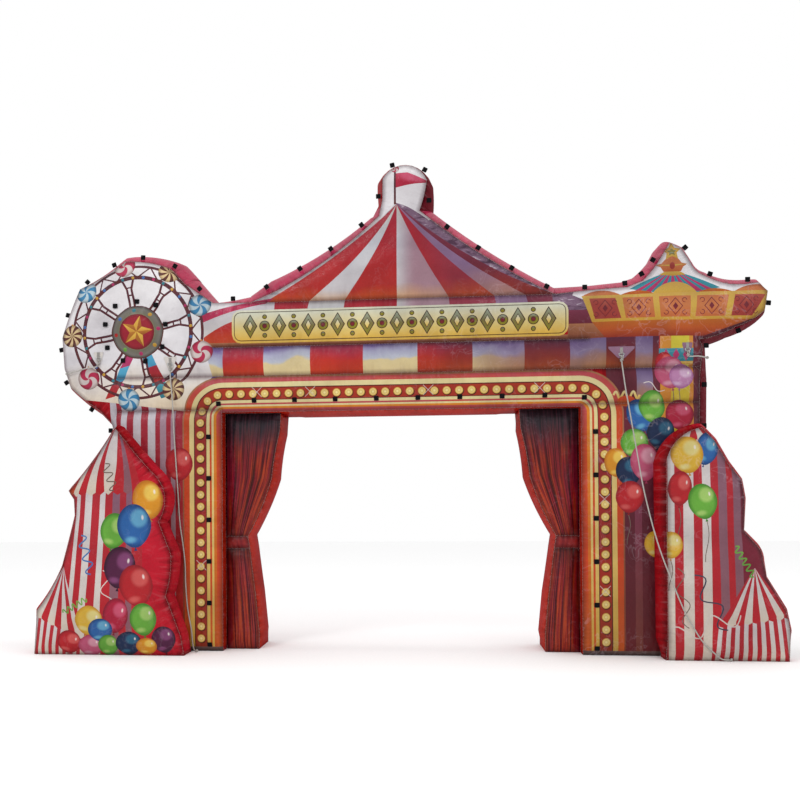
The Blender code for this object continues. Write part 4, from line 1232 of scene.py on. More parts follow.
# One panel of the rim: a frame round two diamonds, with a curl at each corner.
def canopyPanel(topA, topB, footA, footB, look):
    top, foot, gold = (canopySizes[key] for key in ("top", "foot", "gold"))
    panel = [(topA, top - gold), (topB, top - gold), (footB, foot + gold), (footA, foot + gold)]
    x, z = (topA + topB + footA + footB) / 4, (top + foot) / 2
    shapes = [shape(look, panel, box=(2.0, 3.4, 3.9, 3.72)), diamond("plateWine", x, z, 0.074, 0.090),
              diamond(look, x, z, 0.064, 0.078), diamond("plateWine", x, z, 0.026, 0.038)]
    for side, up in ((-1, -1), (-1, 1), (1, -1), (1, 1)):
        curl = [(x + side * (0.092 + 0.022 * math.cos(t)), z + up * (0.062 + 0.022 * math.sin(t)))
                for t in np.linspace(0, 5.0, 10)]
        shapes += ribbon("plateWine", curl, 0.007)
    return shapes


def canopyPrint():
    sizes = canopySizes
    top, foot = sizes["top"], sizes["foot"]
    shapes = canopyDome()
    for lowX, highX, look, rise in canopyScallops:
        hem = arc((lowX, top), (highX, top), rise) + [((lowX + highX) / 2, top - 0.05)]
        shapes.append(shape(look, hem))
    rim = [(sizes["left"][0], top), (sizes["right"][0], top + 0.01), (3.85, 3.60), (3.72, 3.46),
           (sizes["right"][1], foot), (sizes["left"][1], foot)]
    shapes.append(shape("canopyGold", rim, box=(1.9, 3.38, 3.9, 3.75)))
    for row in canopyPanels:
        shapes += canopyPanel(*row)
    ledge = [(1.99, foot), (3.57, foot), (3.10, 3.25), (2.12, 3.25)]
    under = [(3.57, foot), (3.90, 3.50), (3.90, 3.10), (3.0, 3.10), (3.02, 3.25), (3.10, 3.25)]
    return shapes + [shape("canopyFoot", ledge, box=(2.0, 3.25, 3.6, 3.42)), shape("columnShade", under)]


def hungBalloons(rows):
    return [part for look, *place in rows for part in balloon("balloon" + look, *place)]


archBalloons = [  # look, x, z, half width, half height, lean, string
    ("Red", 2.70, 2.99, 0.085, 0.100, 0, 0), ("Pink", 2.76, 2.88, 0.150, 0.165, 8, 0.45),
    ("Lilac", 2.87, 2.84, 0.120, 0.128, -10, 0.40), ("Crimson", 2.85, 2.45, 0.141, 0.155, 6, 0),
    ("Blue", 2.46, 2.45, 0.130, 0.172, 20, 0), ("Green", 2.58, 2.54, 0.130, 0.165, 0, 0),
    ("Green", 2.40, 2.17, 0.138, 0.145, 0, 0), ("Navy", 2.66, 2.27, 0.135, 0.160, -12, 0),
    ("Orange", 2.22, 1.97, 0.120, 0.150, 8, 0), ("Navy", 2.34, 1.88, 0.125, 0.150, 12, 0),
    ("Pink", 2.50, 1.97, 0.140, 0.190, 4, 0), ("Red", 2.35, 1.62, 0.140, 0.165, -4, 0.3),
    ("Red", -2.34, 2.00, 0.150, 0.180, 0, 0.35), ("Yellow", 2.60, 1.14, 0.110, 0.135, 0, 0),
]


def archPrint():
    shapes = [block("foot", -3.3, 0.0, 3.3, printFoot)]
    for part in (columnPrint, roofPrint, beamPrint, platePrint, canopyPrint, wheelPrint, archFrame):
        shapes += part()
    shapes += squiggle("frameCream", 2.33, 2.66, 0.26, 0.035, 3, 0.022)
    shapes.append(disc("frameOrange", 2.33, 2.60, 0.09, 0.055))
    shapes += squiggle("paleLine", 2.60, 2.74, 0.22, 0.03, 1, 0.008, -20)
    return shapes + hungBalloons(archBalloons)


archSides = [  # look of the side wall, and the box of the seam that it hangs from
    # Walls that face up get the painted sheen, and walls that face away get the painted shade.
    ("sideRose", -3.30, 4.05, -1.55, 4.40), ("sideRose", -2.50, 3.60, 0.00, 4.70),
    ("sideRose", 0.00, 3.60, 3.20, 4.70), ("sideRose", 3.20, 3.74, 3.68, 4.00),
    ("sidePaintedShade", 0.20, 4.62, 0.60, 5.40), ("sidePaintedShade", 3.00, 0.10, 3.20, 3.30),
    ("sidePaintedShade", 3.00, 3.10, 3.80, 3.60), ("sideScarlet", -2.0, 0.0, 2.0, 2.60),
]


def makeArch():
    table = leftLeg + wheelRows() + roof + canopy + rightLeg + opening
    levels = [(-legOut, -legIn, archSizes["legSeam"]), (legIn, legOut, archSizes["legSeam"]),
              (-legOut, legOut, archSizes["beamSeams"][0]), (-1.95, 1.95, archSizes["beamSeams"][1]),
              (-1.57, 1.62, eaves)]
    seams = [((left, z), (right, z)) for left, right, z in levels]
    body = puffedBody("arch_cloth", table, 0.0, archSizes["depth"], seams, archPrint(), "sideRed",
                      "sideRed", archReshape, sideParts=archSides)
    return finishPiece(body, ["arch_body"])


arch = makeArch()


leftWing = [  # x, z, bow, side: as for the arch
    (-3.83, 0.00, 0.0, 0.00), (-3.80, 0.46, -0.02, 0.05), (-3.52, 0.93, 0.0, 0.04),
    (-3.43, 1.24, 0.0, 0.05), (-3.38, 1.46, 0.0, 0.04), (-3.39, 1.63, 0.0, 0.03),
    (-3.445, 1.72, -0.02, 0.04), (-2.94, 2.37, 0.0, 0.05), (-2.73, 2.11, 0.0, 0.06),
    (-2.56, 1.92, 0.03, 0.06), (-2.41, 1.65, 0.02, 0.06), (-2.48, 1.39, 0.0, 0.05),
    (-2.35, 1.05, 0.02, 0.06), (-2.41, 0.62, 0.0, 0.05), (-2.25, 0.20, 0.0, 0.03),
    (-2.215, 0.00, 0.0, 0.00),
]
rightWing = [
    (2.64, 0.00, 0.0, 0.00), (2.66, 0.20, 0.0, 0.09), (2.66, 1.95, 0.08, 0.10), (3.00, 2.30, 0.0, 0.05),
    (3.12, 2.17, 0.0, 0.05), (3.24, 1.95, 0.0, 0.05), (3.37, 1.78, 0.0, 0.04), (3.40, 1.60, 0.0, 0.04),
    (3.39, 1.28, 0.0, 0.03), (3.49, 1.16, 0.02, 0.04), (3.57, 0.98, 0.0, 0.04), (3.60, 0.82, 0.0, 0.03),
    (3.78, 0.50, 0.0, 0.04), (3.82, 0.30, 0.0, 0.04), (3.81, 0.00, 0.0, 0.00),
]
wingPlaces = {"left": -0.38, "right": -0.30, "back": -0.05, "spacing": 0.040}


# Stripes that fan from a line of tops down to a line of feet.
def fannedStripes(rows, topZ, footZ):
    return [shape(look, [(top, topZ), (nextTop, topZ), (nextFoot, footZ), (foot, footZ)])
            for (top, foot, look), (nextTop, nextFoot, _) in zip(rows, rows[1:])]


# A painted tent: a striped roof with a scalloped hem over striped walls.
def smallTent(apex, eaveLeft, eaveRight, footLeft, footRight, roofLooks, stripes, scallop, wallLooks):
    eaveLeft, footLeft, drop = np.array(eaveLeft), np.array(footLeft), np.array([0, -scallop])
    run, footRun = np.array(eaveRight) - eaveLeft, np.array(footRight) - footLeft
    shapes = []
    for i in range(stripes * 2):
        a, b = i / (stripes * 2), (i + 1) / (stripes * 2)
        wall = [eaveLeft + run * a, eaveLeft + run * b, footLeft + footRun * b, footLeft + footRun * a]
        shapes.append(shape(wallLooks[i % len(wallLooks)], wall))
    for i in range(stripes):
        left, right = eaveLeft + run * (i / stripes), eaveLeft + run * ((i + 1) / stripes)
        hem = [right, right + drop * 0.7, (left + right) / 2 + drop * 1.15, left + drop * 0.7, left]
        shapes.append(shape(roofLooks[i % len(roofLooks)], [apex] + hem))
    return shapes


leftWalls = [  # top x, foot x and the look to its right
    (-3.42, -3.58, "wingRed"), (-3.335, -3.49, "wingWhite"), (-3.291, -3.44, "wingRed"),
    (-3.237, -3.36, "wingWhite"), (-3.162, -3.28, "wingRed"), (-3.076, -3.18, "wingWhite"),
    (-3.016, -3.11, "wingRed"), (-2.936, -3.00, "wingDusk"), (-2.861, -2.90, "wingRed"),
    # the rightmost stripe takes the side walls' red with painted light, and reads as part of the wall
    (-2.797, -2.82, "wingDusk"), (-2.74, -2.755, "wingRed"), (-2.65, -2.62, "sideBright"),
    (-2.15, -2.15, None),
]
leftRoof = [  # x and z along the eaves and the look to its right
    (-3.47, 1.69, "roofRed"), (-3.385, 1.69, "wingWhite"), (-3.325, 1.69, "wingRed"),
    (-3.237, 1.70, "wingWhite"), (-3.134, 1.70, "wingRed"), (-3.036, 1.71, "wingWhite"),
    (-2.95, 1.71, "wingRed"), (-2.83, 1.71, "wingDusk"), (-2.74, 1.72, "wingRed"),
    # the rightmost piece of roof takes the side walls' red with painted light
    (-2.65, 1.74, "sideBright"), (-2.30, 1.90, None),
]
leftStreamers = [  # look, x, z, length, swing, waves, width, lean
    ("thinLine", -2.98, 1.86, 0.30, 0.045, 3, 0.012, -70),
    ("blueLine", -3.24, 1.05, 0.42, 0.05, 3, 0.016, -75),
    ("greenLine", -3.36, 0.52, 0.30, 0.03, 5, 0.014, 30),
    ("paleLine", -3.00, 0.62, 0.55, 0.06, 2, 0.010, -80),
]
leftWingBalloons = [
    ("Orange", -2.58, 1.62, 0.155, 0.205, 8, 0), ("Green", -2.93, 1.30, 0.150, 0.187, -10, 0.3),
    ("Blue", -2.72, 1.35, 0.175, 0.228, 4, 0), ("Plum", -2.87, 0.92, 0.166, 0.218, -6, 0),
    ("Red", -2.70, 0.73, 0.172, 0.220, 10, 0.25), ("Crimson", -2.92, 0.42, 0.134, 0.185, -8, 0),
    ("Red", -3.43, 0.14, 0.128, 0.125, -12, 0), ("Yellow", -3.21, 0.37, 0.148, 0.156, -14, 0),
    ("Pink", -3.20, 0.10, 0.129, 0.115, 0, 0), ("Blue", -3.09, 0.27, 0.132, 0.120, 6, 0),
    ("Green", -2.63, 0.38, 0.138, 0.170, 6, 0), ("Plum", -2.42, 0.17, 0.125, 0.140, 10, 0),
    ("Green", -3.01, 0.11, 0.107, 0.110, 0, 0), ("Navy", -2.79, 0.13, 0.138, 0.124, 4, 0),
    ("Orange", -2.60, 0.10, 0.112, 0.090, 0, 0),
]


def leftWingPrint():
    shapes = fannedStripes(leftWalls, 1.75, 0.0)
    apex = (-2.92, 2.40)

    def edge(low):
        return arc(low, apex, 0.05 if low[0] < -2.95 else -0.03, 10)

    for (*low, look), (*nextLow, _) in zip(leftRoof, leftRoof[1:]):
        hem = ((low[0] + nextLow[0]) / 2, (low[1] + nextLow[1]) / 2 - 0.035)
        shapes.append(shape(look, edge(low) + edge(nextLow)[::-1] + [hem], box=(-3.45, 1.7, -2.5, 2.4)))
    shapes += smallTent((-3.50, 0.925), (-3.81, 0.44), (-3.285, 0.20), (-3.86, 0.0), (-3.34, -0.02),
                        ("wingWhite", "wingRed"), 7, 0.035, ("wingWhite", "wingRed"))
    for row in leftStreamers:
        shapes += squiggle(*row)
    return shapes + hungBalloons(leftWingBalloons)


rightWalls = [
    (2.50, 2.50, "wingRed"), (2.671, 2.665, "wingWhite"), (2.729, 2.725, "wingRed"),
    (2.808, 2.805, "wingWhite"), (2.902, 2.905, "wingRed"), (2.981, 2.985, "wingWhite"),
    (3.061, 3.07, "wingRed"), (3.132, 3.15, "wingDusk"), (3.211, 3.235, "wingRed"),
    (3.27, 3.30, "wingDusk"), (3.345, 3.38, "wingDark"), (3.95, 3.95, None),
]
rightStreamers = [
    ("greenLine", 3.38, 0.98, 0.34, 0.03, 5, 0.015, -60),
    ("navyLine", 3.06, 0.58, 0.62, 0.07, 2, 0.013, -60),
    ("paleLine", 3.00, 0.34, 0.70, 0.09, 2, 0.012, 20),
    ("thinLine", 2.80, 0.62, 0.60, 0.05, 2, 0.009, -80),
]
rightWingBalloons = [
    ("Navy", 2.76, 2.14, 0.076, 0.085, 0, 0), ("Blue", 3.04, 2.09, 0.113, 0.167, -14, 0),
    ("Yellow", 2.85, 2.03, 0.152, 0.184, 6, 0), ("Red", 2.78, 1.70, 0.110, 0.172, -4, 0.35),
    ("Green", 2.99, 1.57, 0.137, 0.176, 10, 0.4), ("Yellow", 2.69, 1.14, 0.110, 0.135, 0, 0.3),
]


def rightWingPrint():
    shapes = fannedStripes(rightWalls, 2.45, 0.0)
    shapes += smallTent((2.93, 2.36), (2.60, 2.20), (3.16, 2.22), (2.60, 2.16), (3.16, 2.16),
                        ("wingRed", "wingWhite"), 8, 0.04, ("wingRed", "wingWhite"))
    shapes += smallTent((3.476, 0.92), (3.13, 0.375), (3.83, 0.47), (3.10, -0.02), (3.90, -0.02),
                        ("wingRed", "wingWhite"), 9, 0.04, ("wingWhite", "wingRed"))
    for row in rightStreamers:
        shapes += squiggle(*row)
    return shapes + hungBalloons(rightWingBalloons)


wingSides = [
    # The wings' walls get the side cloth with painted light.
    ("sideBright", 2.95, 0.0, 4.0, 2.40), ("sideBright", -4.0, 0.0, -3.30, 2.0),
    ("sideBright", -2.7, 0.0, -2.1, 2.2),
]


def makeWings():
    made = []
    for hand, table, printed in (("left", leftWing, leftWingPrint()),
                                 ("right", rightWing, rightWingPrint())):
        body = puffedBody(f"wing_cloth_{hand}", table, wingPlaces[hand], wingPlaces["back"], [], printed,
                          "sideRed", "sideRed", flatBack=True, spacing=wingPlaces["spacing"],
                          sideParts=wingSides)
        made.append(finishPiece(body, [f"wing_{hand}"]))
    return made


wings = makeWings()


curtainSizes = {
    "front": 0.19, "spacing": 0.030, "tieEdge": 1.60, "folds": 9, "foldDepth": 0.16,
    "foldRise": 0.03,  # folds are full where the cloth rises this much
    "wander": 0.8, "wanderPitch": 3.1,
}
curtainEdge = [  # the free edge of the right-hand one, from the ground up
    (1.52, 0.00, 0.0, 0.00), (1.52, 0.18, 0.0, 0.04), (1.56, 0.60, 0.0, 0.04), (1.62, 1.09, 0.0, 0.02),
    (1.64, 1.22, 0.02, 0.02), (1.375, 1.85, -0.01, 0.05), (1.285, 2.35, 0.0, 0.03),
    (1.27, 2.5547, 0.0, 0.0),
]


# How far across the curtain a point is: 0 at the leg, 1 at the free edge.
def curtainShare(points):
    edge = np.array(curtainEdge)
    free = np.interp(points[:, 1], edge[:, 1], edge[:, 0])
    return np.clip((legIn - np.abs(points[:, 0])) / (legIn - free), 0, 1)


def curtainReshape(points, rise):
    sizes = curtainSizes
    wander = sizes["wander"] * np.sin(points[:, 1] * sizes["wanderPitch"])
    fold = np.cos(curtainShare(points) * sizes["folds"] * 2 * math.pi + wander)
    return rise * (1 + sizes["foldDepth"] * fold * np.clip(rise / sizes["foldRise"], 0, 1))


# The places of the printed folds, which follow the curtain as it is drawn in.
def layFolds(mesh):
    for face in mesh.polygons:
        if mesh.materials[face.material_index] == looks["curtain"]:
            for corner in face.loop_indices:
                spot = mesh.vertices[mesh.loops[corner].vertex_index].co + drawingOrigin
                share = curtainShare(np.array([[spot.x, spot.z]]))[0]
                mesh.uv_layers["printPlace"].data[corner].uv = (share, spot.z)


def makeCurtains():
    made = []
    outer = legIn - puff["gap"]
    corners = ((1.0, -0.1), (1.0, 2.6), (2.0, 2.6), (2.0, -0.1))
    for hand, mirror in (("left", -1), ("right", 1)):
        edge = curtainEdge + [(outer, clearHeight - puff["gap"], 0.0, 0.0), (outer, 0.0, 0.0, 0.0)]
        if mirror < 0:  # its edge runs the other way round, so each bow moves to the point before
            edge = [(-x, z, edge[i - 1][2], side) for i, (x, z, _, side) in enumerate(edge)][::-1]
        seams = [((mirror * curtainSizes["tieEdge"], z), (mirror * outer, z))
                 for z in (curtainPaint["tieLow"], curtainPaint["tieHigh"])]
        front = shape("curtain", [(mirror * x, z) for x, z in corners])
        body = puffedBody(f"curtain_cloth_{hand}", edge, curtainSizes["front"], archSizes["depth"], seams,
                          [front], "sideScarlet", "sideRed", curtainReshape,
                          spacing=curtainSizes["spacing"])
        layFolds(body.data)
        made.append(finishPiece(body, [f"curtain_{hand}"]))
    return made


curtains = makeCurtains()


# Rings, straps and patches.
fittingSizes = {
    "ringWire": 0.008, "ringHalf": 0.025, "ringDrop": 0.030, "ringCorner": 0.006, "play": 0.0006,
    "plate": 0.003, "patchFoot": 0.03, "patchBand": 0.02,  # half the width of a patch's foot, its top band
    "webWide": 0.030, "webTail": 0.060, "webThick": 0.003, "eyeSteps": 20,
}
barHeight = (fittingSizes["plate"] + puff["gap"] + fittingSizes["webThick"] + fittingSizes["ringWire"] / 2
             + fittingSizes["play"])  # of the ring's straight bar over the cloth
patchRings = [  # inset and height: a rounded edge, then a stitched groove
    (0.0, 0.0), (0.0, 0.0018), (0.0012, 0.003), (0.006, 0.003), (0.0075, 0.0024), (0.009, 0.003),
]
forwards = Vector((0, -1, 0))
ringPlaces = {  # x and z where each hangs, the half width and height of its patch, and the patch's look
    "right": (2.28, 3.085, 0.13, 0.10, "patchDark"), "left": (-2.43, 3.085, 0.07, 0.10, "patchLight"),
    "side_left": (-3.22, 3.16, 0.05, 0.08, "patchLight"),
    "side_right": (2.93, 3.12, 0.05, 0.08, "patchDark"),
}


def bodyTree(body):
    mesh = body.data
    return BVHTree.FromPolygons([v.co for v in mesh.vertices], [tuple(p.vertices) for p in mesh.polygons])


def frameOf(x, y, z, place):
    frame = Matrix((x, y, z)).transposed().to_4x4()
    frame.translation = place
    return frame


# The frame of a flat piece laid on the front: x across, y up, z outwards, one gap clear of the cloth.
def seatOn(tree, point, outline):
    hit, normal, _, _ = tree.ray_cast(point + forwards * 2, -forwards)
    across = Vector((0, 0, 1)).cross(normal).normalized()
    up = normal.cross(across)
    nearest = 1.0
    for x, y in outline + [(0, 0)]:
        for scale in (0.25, 0.5, 0.75, 1.0):
            spot = hit + across * x * scale + up * y * scale
            found = tree.ray_cast(spot + normal * 0.1, -normal)
            if found[0] is not None:
                nearest = min(nearest, found[3] - 0.1)
    return frameOf(across, up, normal, hit + normal * (puff["gap"] - nearest))


# Faces that join rings of points, with the ends closed unless the last ring joins the first.
def joinRings(rings, sides, loop=False):
    faces = []
    for ring in range(rings if loop else rings - 1):
        low, high = ring * sides, (ring + 1) % rings * sides
        faces += [(low + i, low + (i + 1) % sides, high + (i + 1) % sides, high + i) for i in range(sides)]
    if not loop:
        faces += [tuple(range(sides))[::-1], tuple(range((rings - 1) * sides, rings * sides))]
    return faces


# A round cord along its points, as a closed mesh.
def roundTube(points, radius, sides=12, loop=False):
    verts = []
    count = len(points)
    across = None
    for i, point in enumerate(points):
        before = points[i - 1] if (i or loop) else point
        after = points[(i + 1) % count] if (i + 1 < count or loop) else point
        run = (after - before).normalized()
        across = across or run.orthogonal().normalized()
        across = (across - run * across.dot(run)).normalized()
        up = run.cross(across)
        for s in range(sides):
            angle = 2 * math.pi * s / sides
            verts.append(point + (across * math.cos(angle) + up * math.sin(angle)) * radius)
    return verts, joinRings(count, sides, loop)


def patchMesh(outline):
    middle = (outline[0][1] + outline[2][1]) / 2
    verts = [(x - math.copysign(inset, x), y - math.copysign(inset, y - middle), height)
             for inset, height in patchRings for x, y in outline]
    return verts, joinRings(len(patchRings), len(outline))


# The ring's centre line: a straight bar and a round bow, with rounded corners.
def ringLine():
    half, drop, corner = (fittingSizes[key] for key in ("ringHalf", "ringDrop", "ringCorner"))
    bend = [(half - corner + corner * math.sin(a), -corner + corner * math.cos(a))
            for a in np.linspace(0.25, 1.3, 4)]
    bow = [(half * math.cos(a), -corner - (drop - corner) * math.sin(a))
           for a in np.linspace(0.02, math.pi - 0.02, 22)]
    line = [(-half + corner, 0.0), (half - corner, 0.0)] + bend + bow + [(-x, y) for x, y in bend[::-1]]
    return evenPoints([Vector((x, y, barHeight)) for x, y in line], 0.0035, closed=True)


def makeFittings(tree):
    strap = webbingMesh(fittingSizes["webWide"] / 2)
    wire = roundTube(ringLine(), fittingSizes["ringWire"] / 2, 14, loop=True)
    spots = {}
    for name, (x, z, half, tall, cloth) in ringPlaces.items():
        narrow, band = fittingSizes["patchFoot"], fittingSizes["patchBand"]
        right = [(narrow, -tall / 2), (half, tall / 2), (half, tall / 2 + band)]
        outline = [(-across, up) for across, up in right[::-1]] + right
        frame = seatOn(tree, Vector((x, 0.0, z)) - drawingOrigin, outline)
        pieces = [("patch", patchMesh(outline), cloth, "patch_cloth", "ring_patch"),
                  ("strap", strap, "webbing", "webbing", "ring_strap"),
                  ("dring", wire, "steel", "ring_steel", "ring")]
        for piece, (verts, faces), look, slotName, node in pieces:
            smooth = piece == "dring"
            made = plainPiece(f"{piece}_{name}", verts, faces, [fittingLooks[look]], smooth, frame)
            finishPiece(made, [f"{node}_{name}"])
        spots[name] = (frame, frame @ Vector((0, -fittingSizes["ringDrop"], barHeight)))
    print("rings, straps and patches:", len(spots), "of each")
    return spots


# The webbing strip, folded round an eye for the ring's bar: its section, filled flat and given its width.
def webbingMesh(half):
    sizes = fittingSizes
    inner = sizes["ringWire"] / 2 + sizes["play"]
    outer = inner + sizes["webThick"]
    low = barHeight - outer

    def arcOf(radius, angles):
        return [(radius * math.cos(a), barHeight + radius * math.sin(a)) for a in angles]

    eye = arcOf(inner, np.linspace(0, 2 * math.pi, sizes["eyeSteps"] + 1)[:-1])
    section = [(sizes["webTail"], low), (sizes["webTail"], low + sizes["webThick"]),
               (0.016, low + sizes["webThick"]), (0.009, low + sizes["webThick"] + 0.003)]
    section += arcOf(outer, np.linspace(math.radians(60), math.radians(270), sizes["eyeSteps"]))
    outerCount, eyeCount = len(section), len(eye)
    edges = [(i, (i + 1) % outerCount) for i in range(outerCount)]
    edges += [(outerCount + i, outerCount + (i + 1) % eyeCount) for i in range(eyeCount)]
    found = delaunay_2d_cdt([Vector(p) for p in section + eye], edges, [], 0, 1e-7)
    spots = np.array([tuple(p) for p in found[0]])
    faces = [tuple(face) for face in found[2]]
    middles = np.array([spots[list(face)].mean(axis=0) for face in faces])
    keep = isInside(middles, np.array(section)) & ~isInside(middles, np.array(eye))
    faces = [face for face, kept in zip(faces, keep) if kept]
    total = len(spots)
    runs = [run for face in faces for run in zip(face, face[1:] + face[:1])]
    sides = [(a, b, total + b, total + a) for a, b in runs if (b, a) not in runs]
    ends = [face[::-1] for face in faces] + [tuple(total + i for i in face) for face in faces]
    return [(x, *p) for x in (-half, half) for p in spots], ends + sides


def evenPoints(points, spacing, closed=False):
    line = list(points) + ([points[0]] if closed else [])
    lengths = [(b - a).length for a, b in zip(line, line[1:])]
    count = max(3, round(sum(lengths) / spacing))
    step = sum(lengths) / count
    made, walked = [line[0].copy()], 0.0
    for (a, b), length in zip(zip(line, line[1:]), lengths):
        while walked + length >= step * len(made) - 1e-9 and len(made) < count:
            made.append(a.lerp(b, (step * len(made) - walked) / length))
        walked += length
    return made if closed else made + [line[-1].copy()]


def smoothRoute(route, spacing):
    knots = [Vector(p) for p in route]
    knots = [knots[0] * 2 - knots[1]] + knots + [knots[-1] * 2 - knots[-2]]
    fine = []
    for a, b, c, d in zip(knots, knots[1:], knots[2:], knots[3:]):
        for i in range(20):
            t = i / 20
            fine.append(0.5 * (2 * b + (c - a) * t + (2 * a - 5 * b + 4 * c - d) * t**2
                               + (3 * b - a - 3 * c + d) * t**3))
    return evenPoints(fine + [knots[-2]], spacing)


# Each rope's way from its ring down to its end knot.
ropeRoutes = {
    "right": [
        (2.280, -0.0515, 3.0489), (2.281, -0.055, 3.010), (2.290, -0.080, 2.900), (2.311, -0.110, 2.703),
        (2.340, -0.130, 2.508), (2.369, -0.150, 2.304), (2.408, -0.190, 2.020), (2.447, -0.230, 1.737),
        (2.502, -0.280, 1.438), (2.559, -0.320, 1.191), (2.609, -0.350, 1.015), (2.670, -0.370, 0.839),
        (2.742, -0.380, 0.644), (2.816, -0.380, 0.468), (2.890, -0.380, 0.331), (2.976, -0.376, 0.194),
        (3.085, -0.362, 0.084), (3.150, -0.342, 0.030), (3.190, -0.338, 0.0175), (3.235, -0.336, 0.0165),
    ],
    "left": [
        (-2.430, -0.0511, 3.0489), (-2.430, -0.054, 3.010), (-2.420, -0.076, 2.900),
        (-2.402, -0.082, 2.689), (-2.389, -0.075, 2.367), (-2.368, -0.072, 2.014), (-2.349, -0.070, 1.703),
        (-2.329, -0.070, 1.382), (-2.292, -0.068, 1.104), (-2.275, -0.066, 0.912), (-2.270, -0.064, 0.709),
        (-2.250, -0.063, 0.463), (-2.212, -0.062, 0.238), (-2.200, -0.062, 0.110), (-2.188, -0.066, 0.042),
        (-2.172, -0.082, 0.018), (-2.150, -0.104, 0.0165),
    ],
    "side_left": [
        (-3.2181, -0.0739, 3.1258), (-3.2185, -0.0745, 3.094), (-3.255, -0.088, 3.068),
        (-3.330, -0.098, 3.058), (-3.430, -0.086, 3.030), (-3.520, -0.064, 3.010), (-3.570, -0.046, 3.000),
    ],
    "side_right": [
        (2.933, -0.0565, 3.0848), (2.933, -0.0625, 3.055), (2.965, -0.069, 3.046), (3.020, -0.068, 3.047),
        (3.070, -0.054, 3.041), (3.118, -0.026, 3.034),
    ],
}


ropeSizes = {
    "thick": 0.014, "step": 0.012,
    "lead": 0.35,  # length over which a route bends to its hitch
    "spread": 3, "held": 3,  # points that share a push, and points at the hitch that aren't pushed
}
# under: the rope's start below its ring.  reach and radius are shares of the rope's width: pulled tight.
hitchSizes = {"under": 0.018, "first": 0.004, "run": 0.030, "reach": 0.95, "radius": 0.42, "step": 0.004}
knotSizes = {"ahead": 0.0165, "wide": 0.0085, "lobe": 0.55, "deep": 0.0072, "radius": 0.0052, "points": 60}


def ropeCurve(name, points):
    curve = bpy.data.curves.new(name, "CURVE")
    curve.dimensions = "3D"
    curve.bevel_depth = ropeSizes["thick"] / 2
    curve.bevel_resolution = 3
    curve.resolution_u = 1
    curve.use_fill_caps = True
    spline = curve.splines.new("POLY")
    spline.points.add(len(points) - 1)
    spline.points.foreach_set("co", [value for point in points for value in (*point, 1.0)])
    curve.materials.append(fittingLooks["rope"])
    return addObject(name, curve)


# The rope's points, led up to its hitch and laid clear of the cloth it passes.
def ropePoints(route, start, trees):
    line = [Vector(p) - drawingOrigin for p in route]
    shift = start - line[0]
    for i in range(1, len(line)):
        line[i] += shift * max(0.0, 1 - (line[i] - start).length / ropeSizes["lead"])
    line[0] = start.copy()
    points = smoothRoute(line, ropeSizes["step"])
    clear = ropeSizes["thick"] / 2 + puff["gap"]
    pushes = [Vector()] * len(points)
    for i, point in enumerate(points):
        for tree in trees if i else ():
            spot, normal, _, _ = tree.find_nearest(point, 0.06)
            short = clear - (point - spot).dot(normal) if spot else 0
            if short > pushes[i].length:
                pushes[i] = normal * short
    # neighbours share a push, so that the rope stays smooth
    spread = ropeSizes["spread"]
    for i in range(ropeSizes["held"], len(points)):
        near = pushes[max(0, i - spread):i + spread + 1]
        points[i] = points[i] + max(near, key=lambda push: push.length)
    return evenPoints(points, ropeSizes["step"])


# Two turns round the ring's wire, then two round the rope itself.
def makeHitch(name, frame, ring, points):
    sizes, thick = hitchSizes, ropeSizes["thick"]
    across, up, out = (frame.to_3x3().col[i].normalized() for i in range(3))
    down = (points[3] - points[0]).normalized()
    side = down.cross(out).normalized()
    front = side.cross(down)
    wireReach, ropeReach = (fittingSizes["ringWire"] + thick) / 2, thick * sizes["reach"]
    line = []
    for i in range(33):
        t = i / 32
        wireTurn = out * math.cos(4 * math.pi * t) + up * math.sin(4 * math.pi * t)
        line.append(ring + across * thick * (2 * t - 1) + wireTurn * wireReach)
    for i in range(4, 37):
        t = i / 36
        ropeTurn = front * math.cos(4 * math.pi * t) - side * math.sin(4 * math.pi * t)
        spot = points[0] + down * (sizes["first"] + sizes["run"] * t)
        line.append(spot + ropeTurn * ropeReach)
    verts, faces = roundTube(evenPoints(line, sizes["step"]), thick * sizes["radius"], 10)
    return plainPiece(name, verts, faces, [fittingLooks["rope"]])


def makeRopes(ringFrames, trees):
    for name, route in ropeRoutes.items():
        frame, ring = ringFrames[name]
        up = frame.to_3x3().col[1].normalized()
        points = ropePoints(route, ring - up * hitchSizes["under"], trees)
        rope = ropeCurve(f"rope_line_{name}", points)
        finishPiece(rope, [f"rope_{name}"])
        hitch = makeHitch(f"rope_hitch_{name}", frame, ring, points)
        finishPiece(hitch)
        onward = points[-1] - points[-2]
        if points[-1].z < 0.1:
            onward.z = 0  # this knot lies on the ground
        onward.normalize()
        knot = makeKnot(f"rope_end_{name}", points[-1], onward)
        finishPiece(knot, [f"rope_knot_{name}"])


# An overhand knot: the cord wound once through itself, kept as small as the rope allows.
def makeKnot(name, end, onward):
    sizes = knotSizes
    side = onward.orthogonal().normalized()
    up = onward.cross(side)
    centre = end + onward * sizes["ahead"]
    line = []
    for i in range(sizes["points"]):
        t = 2 * math.pi * i / sizes["points"]
        wide = sizes["wide"] * (1 + sizes["lobe"] * math.cos(3 * t))
        x, y, z = wide * math.cos(2 * t), wide * math.sin(2 * t), sizes["deep"] * math.sin(3 * t)
        line.append(centre + side * x + up * y + onward * z)
    verts, faces = roundTube(line, sizes["radius"], 10, loop=True)
    return plainPiece(name, verts, faces, [fittingLooks["rope"]])


